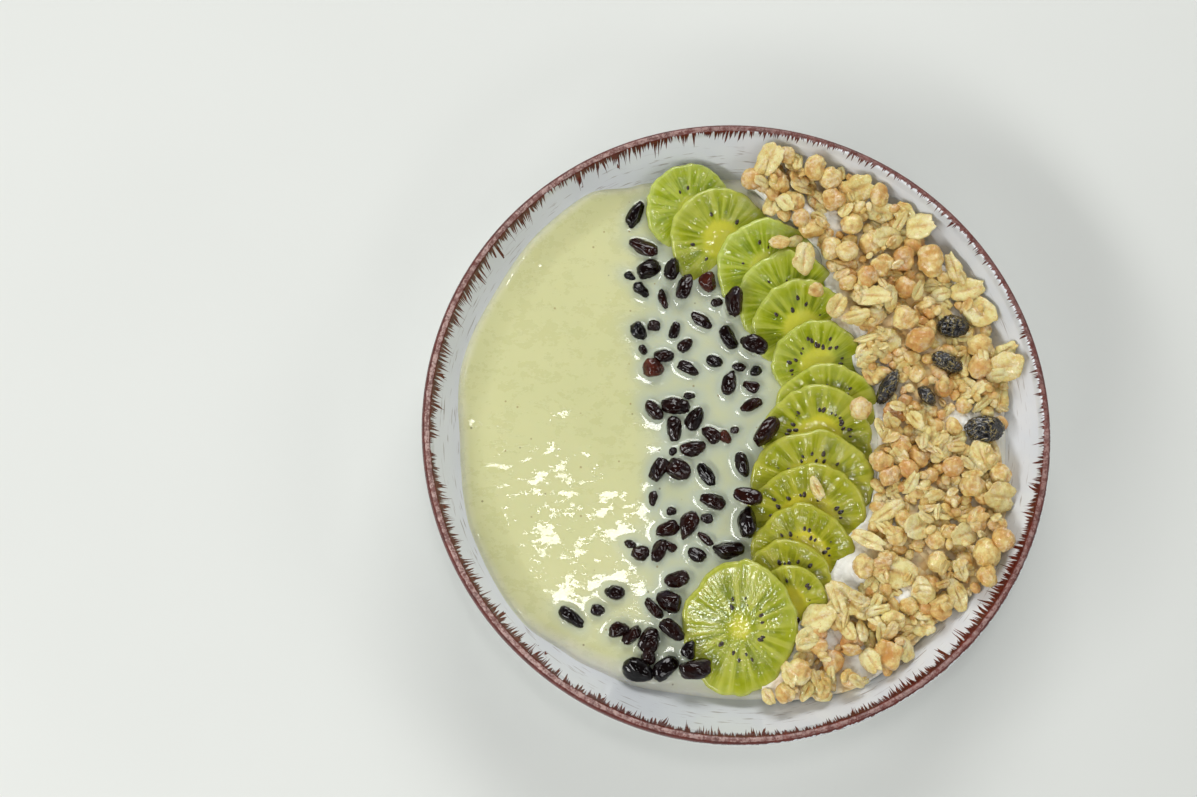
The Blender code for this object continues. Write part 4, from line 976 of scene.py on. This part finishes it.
def build_smoothie(berries):
    """The smoothie's body: its top rises to each berry, and is rippled on the open side."""
    rings, spokes = 140, 480
    flat, faces = disc_sheet(rings, spokes)
    edges = np.array([along(SMOOTHIE_EDGE, 360.0 * spoke / spokes) for spoke in range(spokes)])
    stretch = np.concatenate(([0.0], np.tile(edges + 1.2, rings)))
    x, y = flat[:, 0] * stretch, flat[:, 1] * stretch
    top = np.array([smoothie_height(a, b) for a, b in zip(x, y)])
    radius = np.hypot(x, y)
    wall = np.array([wall_curve(r) for r in radius])
    shore = np.concatenate(([99.0], np.tile(edges, rings))) - radius
    top += np.where(shore < 1.5, -0.5 * np.clip((1.5 - shore) / 1.5, 0, 2) ** 2, 0.0)
    # the tint near the berries: partly stain, partly a painted reflection of the meniscus round each berry
    stain_and_sheen = np.zeros(len(x))
    for lump in berries:
        gap = far_from(x, y, lump)
        top += 0.55 * np.exp(-np.clip(gap, 0, None) / 0.75) * (gap > -0.8)
        stain_and_sheen = np.maximum(stain_and_sheen, np.exp(-(np.clip(gap, 0, None) / 3.4) ** 1.5))
    spots = lifted(x, y, 0.0)
    berry_side = np.clip((x + 34 + 5 * noise(spots, 18.0, 3)) / 8, 0, 1)
    stain_and_sheen = np.clip(0.45 * berry_side + 0.75 * stain_and_sheen, 0, 1)
    skew = lifted(x * 0.7 - y * 0.12, y * 1.05 + x * 0.18, 0.0)
    wet = np.clip((-x - 2) / 24, 0.1, 1) * np.clip((22 - y) / 30, 0.12, 1)
    top += wet * (0.14 * noise(skew, 9.0, 5) + 0.05 * noise(skew, 4.6, 6) + 0.02 * noise(skew, 2.6, 8))
    top += 0.05 * noise(spots, 12.0, 9)
    beside = 26 + 0.12 * np.abs(y) - 1.05 * np.clip(y - 50, 0, None)
    cream_and_painted_light = np.clip((x - beside) / 10 + 0.6 * noise(spots, 9.0, 4), 0, 1)
    # the shore is paler all round; near the bottom it is paler and wider still, a painted light on the shaded
    # near shore
    painted_light_low_side = np.clip((-y - 55) / 25, 0, 1)
    cream_and_painted_light = np.maximum(cream_and_painted_light, (0.45 + 0.5 * painted_light_low_side) * np.clip(
        1 - (shore - 0.5 * noise(spots, 6.0, 12)) / (3.0 + 4.0 * painted_light_low_side), 0, 1))
    top = np.maximum(top, wall - 0.25)
    # the underside is plainer: one ring in ten of the top's
    kept = np.concatenate(([0], np.concatenate([1 + ring * spokes + np.arange(spokes)
                                                for ring in range(9, rings, 10)])))
    low = lifted(x, y, np.minimum(wall - 0.15, top - 0.4))[kept]
    plain_faces = disc_sheet(rings // 10, spokes)[1]
    points, faces = closed_plate(lifted(x, y, top), low, faces, spokes, plain_faces)
    both = np.concatenate((np.arange(len(top)), kept))
    pile = Pile()
    pile.add(points, faces, stain_and_sheen=stain_and_sheen[both], cream=cream_and_painted_light[both])
    pile.build("smoothie_filling", smoothie_look(), "smoothie", "smoothie")


CORNER = 12.0               # how sharply a berry's flat sides meet


def berry_points(shape, lump, seed):
    """A dark berry: an uneven drop with a flat side or two, a blunt end and fine wrinkles."""
    points, faces = shape
    draw = random.Random(seed)
    taper, blunt = draw.uniform(-0.22, 0.22), draw.uniform(2.1, 2.8)
    size = np.sum(np.abs(points) ** blunt, axis=1) ** (1 / blunt)
    reach = 1.1 / size
    # flat sides, cut by planes whose corners stay softly rounded
    closeness = reach ** -CORNER
    for _ in range(draw.choice((5, 6, 7))):
        side = Vector((draw.uniform(-0.7, 0.7), draw.uniform(-1, 1), draw.uniform(-0.6, 1))).normalized()
        facing = np.clip(points @ np.array(side), 0.05, None)
        closeness = closeness + (draw.uniform(0.86, 1.0) / facing) ** -CORNER
    out = points * (closeness ** (-1 / CORNER))[:, None]
    out[:, 1:] *= (1 + taper * out[:, :1])
    spots = points + seed * 3.1
    swell = 1 + 0.09 * noise(spots, 0.8, seed) + 0.05 * noise(spots, 0.36, seed + 1)
    swell += 0.022 * noise(spots, 0.15, seed + 4)
    swell -= 0.09 * ridges(spots * (1, 1.6, 1.6), 0.5, seed + 2) ** 6
    out = out * swell[:, None]
    return laid(out * np.array(lump.half), lump), faces


# how red some berries are, by their place in the tables, counted from 1 and from 0
RED_BERRIES = {7: 1.0, 14: 0.25, 18: 0.2}
RED_SMALL_BERRIES = {3: 0.8, 21: 0.9}


def build_berries(lumps, small):
    look = berry_look()
    shape = ball(4)
    for number, lump in enumerate(lumps, start=1):
        pile = Pile()
        draw = random.Random(number)
        points, faces = berry_points(shape, lump, number)
        pile.add(points, faces, tone=RED_BERRIES.get(number, draw.uniform(0.0, 0.25)))
        pile.build(f"dark_berry_{number:02d}", look, "berry", f"berry_{number:02d}")
    pile = Pile()
    for number, lump in enumerate(small):
        draw = random.Random(number + 200)
        points, faces = berry_points(shape, lump, number + 200)
        pile.add(points, faces, tone=RED_SMALL_BERRIES.get(number, draw.uniform(0.0, 0.25)))
    pile.build("small_dark_berries", look, "berry")


def slice_points(piece, seed):
    """A kiwi slice's solid: an uneven outline, a softened edge and shallow rays on its faces."""
    rings, spokes = 34, 120
    flat, faces = disc_sheet(rings, spokes)
    angle = np.arctan2(flat[:, 1], flat[:, 0])
    reach = np.hypot(flat[:, 0], flat[:, 1])
    uneven = 1.0 + 0.018 * np.sin(2 * angle + piece.centre.x) + 0.012 * np.sin(5 * angle)
    rim = np.column_stack((np.cos(angle), np.sin(angle), 0 * angle))
    facet = 0.055 * noise(rim * 2.5, 1.0, seed) + 0.024 * noise(rim * 8.0, 1.0, seed + 5)
    x = flat[:, 0] * piece.half[0] * (uneven + facet)
    y = flat[:, 1] * piece.half[1] * (uneven + facet)
    half = KIWI_THICKNESS / 2
    heading = np.column_stack((np.cos(angle) * 5, np.sin(angle) * 5, reach + seed))
    rays = noise(heading, 0.55, seed) * np.clip((reach - 0.35) * 4, 0, 1) * np.clip((1 - reach) * 5, 0, 1)
    drop = half * (1 - np.sqrt(np.clip(1 - np.clip((reach - 0.93) / 0.07, 0, 1) ** 2, 0, 1))) * 0.6
    spots = lifted(x, y, seed * 7.0)
    soft = 0.22 * noise(spots, 6.0, seed) + 0.06 * noise(spots, 1.8, seed + 4)
    soft = soft - 0.12 * np.exp(-((reach - 0.5) / 0.12) ** 2)
    calm = 0.15 if seed == len(KIWIS) else 1.0
    top = half - drop + calm * (0.12 * rays + soft) - 0.05
    under = -half + drop + 0.05
    points, faces = closed_plate(lifted(x, y, top), lifted(x, y, under), faces, spokes)
    return points, faces, np.tile(flat, (2, 1)), np.tile(reach, 2)


def stood(points, piece):
    """Points in a slice's own plane, tilted and moved to where it lies."""
    turn = np.array(piece.turn.to_matrix())
    return points @ turn.T + np.array(piece.centre)


def build_kiwis(slices):
    look, seed_material = kiwi_look(), seed_look()
    pips = Pile()
    pip, pip_faces = ball(2)
    for number, piece in enumerate(slices, start=1):
        pile = Pile()
        points, faces, flat, reach = slice_points(piece, number)
        pile.add(stood(points, piece), faces, across=flat[:, 0], up=flat[:, 1], reach=reach,
                 ripe=KIWI_RIPE[number - 1], heart=KIWI_HEART[number - 1], own=number * 1.7,
                 rough=0.9 if number == len(slices) else 1.0)
        pile.build(f"kiwi_slice_{number:02d}", look, "kiwi", f"kiwi_{number:02d}")
        draw = random.Random(number * 11)
        last, dense = number == len(slices), 6 <= number <= 11
        spots = 44 if dense else 28
        for index in range(spots):
            angle = math.tau * (index + draw.uniform(-0.4, 0.4)) / spots
            out = (draw.choice((0.46, 0.53, 0.62)) + draw.uniform(-0.05, 0.05)) * (0.8 if last else 1.0)
            if draw.random() < (0.3 if dense or last else 0.55):
                continue
            shape = pip * np.array((1.15, 0.72, 0.45)) * draw.uniform(0.75, 1.05)
            shape[:, 1] *= 1 - 0.3 * pip[:, 0]
            shape = turned_about(shape, angle + draw.uniform(-0.35, 0.35))
            middle = (piece.half[0] * out * math.cos(angle), piece.half[1] * out * math.sin(angle),
                      KIWI_THICKNESS / 2 - draw.uniform(0.15, 0.5))
            pips.add(stood(shape + middle, piece), pip_faces)
    pips.build("kiwi_seeds", seed_material, "kiwi")


def build_raisins(lumps):
    look = raisin_look()
    points, faces = ball(5)
    for number, lump in enumerate(lumps, start=1):
        spots = points * (1.0, 1.5, 1.3) + number * 2.3
        crest = ridges(spots, 0.34, number * 5) ** 2 * 0.6 + ridges(spots, 0.17, number * 5 + 1) ** 2 * 0.4
        out = points * (0.86 + 0.16 * crest + 0.07 * noise(spots, 0.9, number))[:, None]
        pile = Pile()
        # the crest value also paints the wrinkles' highlight in raisin_look
        pile.add(laid(out * np.array(lump.half), lump), faces, crest=np.clip(crest * 1.25 - 0.1, 0, 1))
        pile.build(f"dark_raisin_{number:02d}", look, "raisin", f"raisin_{number:02d}")


LOBE_EDGE = 16.0            # how sharply a puff's lobes meet


def puff_points(shape, lump, seed, cup=None, box=False):
    """A toasted puff: round lobes fused round a core, some with a dimple, and how much painted shade each
    point gets for lying deep.
    """
    points, faces = shape
    draw = random.Random(seed)
    spots = points + seed * 1.7
    offset, size, lobes = draw.choice(((0.44, 0.56, 6), (0.40, 0.60, 5), (0.30, 0.70, 4), (0.16, 0.82, 3)))
    reach = np.full(len(points), 0.76) ** LOBE_EDGE
    for _ in range(lobes):
        middle = Vector((draw.uniform(-1, 1), draw.uniform(-1, 1), draw.uniform(-0.5, 1))).normalized()
        own = size * draw.uniform(0.88, 1.06)
        facing = offset * (points @ np.array(middle))
        reach = reach + (facing + np.sqrt(own ** 2 - offset ** 2 + facing ** 2)) ** LOBE_EDGE
    reach = reach ** (1 / LOBE_EDGE)
    if box:
        reach = 1.0 / np.sum(np.abs(turned_about(points, 0.5)) ** 7, axis=1) ** (1 / 7)
    valley = np.clip((np.percentile(reach, 55) - reach) * 5.0, 0, 1)
    towards = Vector((draw.uniform(-0.6, 0.6), draw.uniform(-0.6, 0.6), 1.0)).normalized()
    if cup is None:
        cup = draw.choice((0.0, 0.0, 0.0, 0.12, 0.25))
    dent = cup * np.exp(-((1 - points @ np.array(towards)) / 0.09))
    crease = ridges(spots, 0.7, seed + 2) ** 9
    grain = 0.07 * noise(spots, 0.42, seed + 1) + 0.05 * noise(spots, 0.21, seed + 3)
    out = points * (reach + grain - 0.07 * crease - dent)[:, None]
    # painted shade in the valleys, the creases and the dimple
    hollow = np.clip(0.75 * valley + 0.7 * crease + 2.4 * dent - 2.0 * grain, 0, 1)
    return laid(out * np.array(lump.half), lump), faces, hollow


def flake_points(lump, seed, thickness=1.7, rings=9, spokes=30):
    """An oat flake: a thin curled oval with a crease along it and a ragged edge."""
    flat, faces = disc_sheet(rings, spokes)
    draw = random.Random(seed)
    angle = np.arctan2(flat[:, 1], flat[:, 0])
    reach = np.hypot(flat[:, 0], flat[:, 1])
    around = np.column_stack((np.cos(angle) * 1.6, np.sin(angle) * 1.6, np.full(len(angle), seed * 1.0)))
    ragged = 1 + (0.16 * noise(around, 0.8, seed) + 0.08 * noise(around, 0.3, seed + 2)) * reach
    notch = np.exp(-(np.minimum(np.abs(angle), 10) / 0.22) ** 2) * 0.14 * reach ** 4
    x = flat[:, 0] * lump.half[0] * (ragged - notch)
    y = flat[:, 1] * lump.half[1] * ragged
    curl = draw.uniform(-1.3, 1.0)
    twist = draw.uniform(-0.5, 0.5)
    crease = np.exp(-(flat[:, 1] / 0.13) ** 2) * np.clip(1.15 - np.abs(flat[:, 0]), 0, 1)
    spots = lifted(x, y, seed * 3.0)
    wave = 0.42 * noise(spots, 3.2, seed) + 0.18 * noise(spots, 1.3, seed + 1)
    bend = curl * (flat[:, 1] ** 2 - 0.3) + twist * flat[:, 0] * flat[:, 1] + wave
    thick = thickness * 0.5 * (1 - 0.65 * reach ** 4)
    top = bend + thick - 0.6 * crease
    under = bend - thick
    points, faces = closed_plate(lifted(x, y, top), lifted(x, y, under), faces, spokes)
    # painted shade in the crease, and darker towards the rim
    hollow = np.tile(np.clip(0.8 * crease + 0.25 * reach ** 6, 0, 1), 2)
    return laid(points, lump), faces, hollow


# places where the cream under the granola shows
CREAM_SPOTS = ((35.4, 76.0), (25.0, 77.5), (42.5, -49.2), (40.9, -80.6), (79.8, 1.6), (29.9, -72.1),
               (57.0, -58.7), (47.7, -87.0))
DIMPLED = 1.9
# puffs toasted darker than the rest: x, y and tone; and the place of the one cut square
DARK_PUFFS = ((55, 5.5, 1.5), (38.5, -72.5, 1.3), (39.5, -44.5, DIMPLED), (60, 50, 0.9))
NUT_CUBE = (50, -77.5)


CREAM_REACH = 4.5           # small pieces keep this far from the middle of a cream spot
NEAR_ROW = 2.5              # a piece this near to a row of a table is the one that the row names


def spot_on_bank(draw, bearings, shares):
    """A random place on the granola's bank, from a range of bearings and of shares of the way out."""
    bearing, share = draw.uniform(*bearings), draw.uniform(*shares)
    inner, outer = along(BANK_INNER, bearing), along(BANK_OUTER, bearing)
    radius = inner + (outer - inner) * share
    return radius * math.cos(math.radians(bearing)), radius * math.sin(math.radians(bearing))


def taken(x, y, slices, crowd, grow):
    """Whether a small piece would lie on a slice, on the cream or on one of a crowd of pieces."""
    on_cream = any(math.dist((x, y), spot) < CREAM_REACH for spot in CREAM_SPOTS)
    return bool(slice_tops(x, y, slices)) or on_cream or any(piece.share(x, y, grow) < 1 for piece in crowd)


def build_bed():
    """The bank under the granola's pieces, rough where it is crumbs and smooth where it is cream."""
    rings, steps = 44, 200
    points, cream, faces = [], [], []
    for step in range(steps):
        bearing = BANK_INNER[0][0] + 0.01 + (BANK_INNER[-1][0] - BANK_INNER[0][0] - 0.02) * step / (steps - 1)
        inner, outer = along(BANK_INNER, bearing), along(BANK_OUTER, bearing)
        turn = math.radians(bearing)
        for ring in range(rings):
            radius = inner + (outer - inner) * (0.001 + 0.998 * ring / (rings - 1))
            x, y = radius * math.cos(turn), radius * math.sin(turn)
            points.append((x, y, bank_height(x, y)))
            cream.append(max(math.exp(-((x - a) ** 2 + (y - b) ** 2) / 30.0) for a, b in CREAM_SPOTS))
    points = np.array(points)
    inner_side = np.tile(np.clip(1.0 - np.linspace(0.0, 1.0, rings) * 3.2, 0, 1), steps)
    at_top = np.clip((np.degrees(np.arctan2(points[:, 1], points[:, 0])) - 50) / 14, 0, 1)
    pool = np.array(cream)
    cream = np.clip(pool * 1.6 + 0.9 * noise(points, 7.0, 61) + 0.25 + 1.2 * inner_side + 0.8 * at_top, 0, 1)
    rough = 0.55 * layered(points, 4.0, 50) + 0.35 * ridges(points, 2.0, 51)
    points[:, 2] += rough * (1 - cream) - 0.5 - 0.8 * cream + 2.8 * pool
    low = points.copy()
    low[:, 2] = SMOOTHIE_LEVEL - 1.0
    for step in range(steps - 1):
        for ring in range(rings - 1):
            here = step * rings + ring
            faces.append([here, here + 1, here + rings + 1, here + rings])
    count = len(points)
    faces += [[count + index for index in reversed(face)] for face in list(faces)]
    border = ([(i * rings, (i + 1) * rings) for i in range(steps - 1)]
              + [((i + 1) * rings + rings - 1, i * rings + rings - 1) for i in range(steps - 1)]
              + [(i + 1, i) for i in range(rings - 1)]
              + [((steps - 1) * rings + i, (steps - 1) * rings + i + 1) for i in range(rings - 1)])
    faces += [[a, b, count + b, count + a] for a, b in border]
    bed = Pile()
    bed.add(np.vstack((points, low)), faces, cream=np.tile(cream, 2))
    bed.build("granola_bed", core_look(), "granola", "granola")


def add_read_pieces(puffs, flakes, pieces):
    """The puffs and flakes at the part's own places, each with its own tone."""
    shape = ball(4)
    for number, lump in enumerate(pieces):
        tone = random.Random(number + 500).uniform(0.0, 1.0)
        here = (lump.centre.x, lump.centre.y)
        for x, y, dark in DARK_PUFFS:
            if math.dist(here, (x, y)) < NEAR_ROW:
                tone = dark
        if lump.kind == "flake":
            points, faces, hollow = flake_points(lump, number)
            flakes.add(points, faces, tone=0.6 * tone, hollow=hollow)
        else:
            points, faces, hollow = puff_points(shape, lump, number, cup=0.4 if tone == DIMPLED else None,
                                                box=math.dist(here, NUT_CUBE) < NEAR_ROW)
            puffs.add(points, faces, tone=tone, hollow=hollow)


def add_filling(puffs, flakes, pieces, slices, toppings):
    """Small seeded pieces, low in the gaps between those."""
    draw, shape = random.Random(31), ball(3)
    filling = []
    for number in range(1500):
        x, y = spot_on_bank(draw, (-84, 85), (0.0, 1.0))
        size = draw.choice((3.2, 4.0, 4.8, 5.6))
        if taken(x, y, slices, pieces + filling + toppings, size * 0.02):
            continue
        lump = Lump(x, y, size * 1.2, size * 0.95, size * 0.85, draw.uniform(0, 180))
        lump.centre.z = bank_height(x, y) + size * 0.12
        filling.append(lump)
        if draw.random() < 0.7:
            pile, made = puffs, puff_points(shape, lump, number + 3000)
        else:
            lump.half = (lump.half[0] * 1.35, lump.half[1] * 1.1, 1.0)
            pile, made = flakes, flake_points(lump, number + 3000, 1.3, 6, 20)
        points, faces, hollow = made
        pile.add(points, faces, tone=draw.uniform(0.0, 1.0), hollow=hollow)


def add_upper_flakes(flakes, pieces, slices, toppings, ground):
    """Broken flakes that lie on top of the others."""
    draw = random.Random(64)
    round_pieces = [piece for piece in pieces if piece.kind != "flake"]
    for number in range(90):
        x, y = spot_on_bank(draw, (-82, 80), (0.05, 0.95))
        size = draw.uniform(5.5, 9.0)
        near = min(math.dist((x, y), piece.centre.xy) / piece.half[0] for piece in round_pieces)
        if near < 0.75 or taken(x, y, slices, toppings, 3.5):
            continue
        lump = Lump(x, y, size, size * draw.uniform(0.4, 0.65), 1.4, draw.uniform(0, 180))
        lump.lie_along(ground, steepest=0.8)
        lump.settle(ground)
        lump.centre.z = min(lump.centre.z - 0.6, bank_height(x, y) + 4.0)
        points, faces, hollow = flake_points(lump, number + 5000, 1.3, 8, 26)
        flakes.add(points, faces, tone=draw.uniform(0.0, 0.8), hollow=hollow)


def add_crumbs(crumbs, slices, toppings, ground):
    draw, shape = random.Random(90), ball(2)
    for number in range(440):
        x, y = spot_on_bank(draw, (-82, 84), (0.02, 1.0))
        size = draw.uniform(2.2, 4.6)
        if taken(x, y, slices, toppings, 2.0):
            continue
        level = ground(x, y)
        if level > SMOOTHIE_LEVEL + 9.5:
            continue
        if draw.random() < 0.4:
            lump = Lump(x, y, size * 1.2, size * 0.9, size * 0.8, draw.uniform(0, 180))
            lump.centre.z = level + size * 0.1
            points, faces, hollow = puff_points(shape, lump, number + 900, cup=0.0)
        else:
            lump = Lump(x, y, size * 1.7, size, 1.4, draw.uniform(0, 180))
            lump.lie_along(ground, steepest=0.8)
            lump.centre.z = level + 0.2
            points, faces, hollow = flake_points(lump, number + 900, 1.0, 4, 14)
        crumbs.add(points, faces, tone=draw.uniform(0.0, 1.0), hollow=hollow * 0.7)


def build_granola(pieces, slices, toppings):
    def ground(x, y):
        tops = [piece.top(x, y) for piece in pieces
                if abs(piece.centre.x - x) < 8 and abs(piece.centre.y - y) < 8]
        tops = [top for top in tops if top is not None]
        core = bank_height(x, y)
        return max(tops + [core if core is not None else 0.0] + [smoothie_height(x, y)])

    build_bed()
    puffs, flakes, crumbs = Pile(), Pile(), Pile()
    add_read_pieces(puffs, flakes, pieces)
    add_filling(puffs, flakes, pieces, slices, toppings)
    add_upper_flakes(flakes, pieces, slices, toppings, ground)
    add_crumbs(crumbs, slices, toppings, ground)
    tan = toast_look("toasted_puff", linear(242, 226, 152), linear(221, 185, 106), linear(197, 133, 57))
    oat = toast_look("toasted_oat", linear(242, 232, 166), linear(227, 207, 128), linear(205, 163, 79),
                     grain_scale=1300.0)
    chips = toast_look("toasted_crumb", linear(242, 229, 164), linear(223, 195, 114), linear(199, 145, 67))
    puffs.build("granola_puffs", tan, "granola")
    flakes.build("granola_flakes", oat, "oat")
    crumbs.build("granola_crumbs", chips, "granola")
    return tan, oat


def build_grains(lumps, chip, tan, oat):
    """The loose grains that lie on the kiwi slices, and one pale chip beside them."""
    shape = ball(4)
    pile = Pile()
    points, faces, hollow = puff_points(ball(3), chip, 7, cup=0.0)
    pile.add(points, faces, tone=0.0, hollow=0.3 * hollow)
    pile.build("loose_chip", oat, "oat")
    for number, lump in enumerate(lumps, start=1):
        pile = Pile()
        if number in FLAT_GRAINS:
            points, faces, hollow = flake_points(lump, number + 40, thickness=1.5)
        else:
            points, faces, hollow = puff_points(shape, lump, number + 40, cup=0.45 if number == 3 else 0.25)
        pile.add(points, faces, tone=0.3, hollow=hollow)
        pile.build(f"loose_grain_{number:02d}", oat if number in FLAT_GRAINS else tan, "oat",
                   f"grain_{number:02d}")


# ---------------------------------------------------------------- studio
# area lights: name, place and size in metres, power in watts, and the point each one faces
MIDDLE = (0.0, 0.0, 0.03)
LIGHTS = (("window_left", (-0.85, -0.5, 0.78), (1.15, 0.22), 8.7, (-0.36, -0.14, 0.0)),
          ("fill_back", (0.1, 1.1, 0.9), (0.9, 0.5), 10.0, MIDDLE),
          ("fill_right", (1.15, 0.1, 0.95), (0.6, 0.4), 1.8, MIDDLE),
          ("fill_front", (0.4, -1.05, 0.95), (0.5, 0.25), 1.6, MIDDLE),
          ("lamp_above", (-0.06, 0.105, 1.35), (0.15, 0.2), 1.3, (-0.06, -0.04, 0.03)),
          ("lamp_near", (-0.31, -0.31, 1.22), (0.06, 0.06), 0.24, MIDDLE),
          ("lamp_front", (0.1, -0.6, 1.2), (0.06, 0.06), 0.24, MIDDLE),
          ("lamp_right", (0.62, -0.15, 1.2), (0.05, 0.05), 0.2, MIDDLE))


def area_light(name, place, size, power, aim):
    data = bpy.data.lights.new(name, "AREA")
    data.shape = "RECTANGLE"
    data.size, data.size_y = size
    data.energy = power
    light = bpy.data.objects.new(name, data)
    light.location = place
    light.rotation_euler = (Vector(aim) - Vector(place)).to_track_quat("-Z", "Y").to_euler()
    bpy.context.scene.collection.objects.link(light)


def build_world():
    """A soft surround, bright near the horizon and dim overhead, so wet things keep their depth."""
    world = bpy.data.worlds.new("studio")
    bpy.context.scene.world = world
    world.use_nodes = True
    nodes, links = world.node_tree.nodes, world.node_tree.links
    direction = nodes.new("ShaderNodeTexCoord").outputs["Generated"]
    apart = nodes.new("ShaderNodeSeparateXYZ")
    links.new(direction, apart.inputs[0])
    fade = nodes.new("ShaderNodeMapRange")
    fade.interpolation_type = "SMOOTHSTEP"
    for key, value in (("From Min", 0.32), ("From Max", 0.82), ("To Min", 0.46), ("To Max", 0.07)):
        fade.inputs[key].default_value = value
    links.new(apart.outputs[2], fade.inputs["Value"])
    back = nodes["Background"]
    back.inputs["Color"].default_value = (0.97, 0.99, 1.0, 1.0)
    links.new(fade.outputs["Result"], back.inputs["Strength"])


def build_studio():
    bm = bmesh.new()
    bmesh.ops.create_grid(bm, x_segments=24, y_segments=24, size=2.4)
    mesh = bpy.data.meshes.new("table_top")
    bm.to_mesh(mesh)
    bm.free()
    mesh.materials.append(table_look())
    table = bpy.data.objects.new("table_top", mesh)
    bpy.context.scene.collection.objects.link(table)

    build_world()
    for row in LIGHTS:
        area_light(*row)


def build_camera():
    """The photograph's camera, which stands off the bowl's axis and leans without rolling."""
    tilt, side = math.radians(CAMERA_TILT), math.radians(CAMERA_SIDE)
    back = Vector((math.sin(tilt) * math.cos(side), math.sin(tilt) * math.sin(side), math.cos(tilt)))
    turn = Vector((0, 0, 1)).rotation_difference(back).to_matrix().to_4x4()
    data = bpy.data.cameras.new("camera")
    data.lens = CAMERA_LENS
    data.sensor_width = CAMERA_SENSOR
    camera = bpy.data.objects.new("camera", data)
    camera.matrix_world = Matrix.Translation(Vector(CAMERA_PLACE) * MM) @ turn
    bpy.context.scene.collection.objects.link(camera)
    bpy.context.scene.camera = camera
    bpy.context.scene.view_settings.view_transform = "Standard"


def main():
    slices = kiwi_slices()
    big = berry_lumps(BERRIES, slices)
    small = berry_lumps(SMALL_BERRIES, slices, GAP)     # so that none hovers beside a slice

    def on_bank(x, y):
        core = bank_height(x, y)
        return max(base_height(x, y, slices), core if core is not None else 0.0)

    raisins = [lying_on(row, RAISIN_HEIGHT, on_bank) for row in RAISINS]
    grains = [lying_on(row, height, lambda x, y: base_height(x, y, slices))
              for row, height in zip(GRAINS, GRAIN_HEIGHTS)]
    chip = lying_on(CHIP, CHIP_HEIGHT, lambda x, y: base_height(x, y, slices))
    build_studio()
    build_camera()
    build_bowl()
    build_smoothie(big + small)
    build_berries(big, small)
    build_kiwis(slices)
    build_raisins(raisins)
    tan, oat = build_granola(granola_pieces(slices, raisins + grains), slices, raisins + grains)
    build_grains(grains, chip, tan, oat)


main()
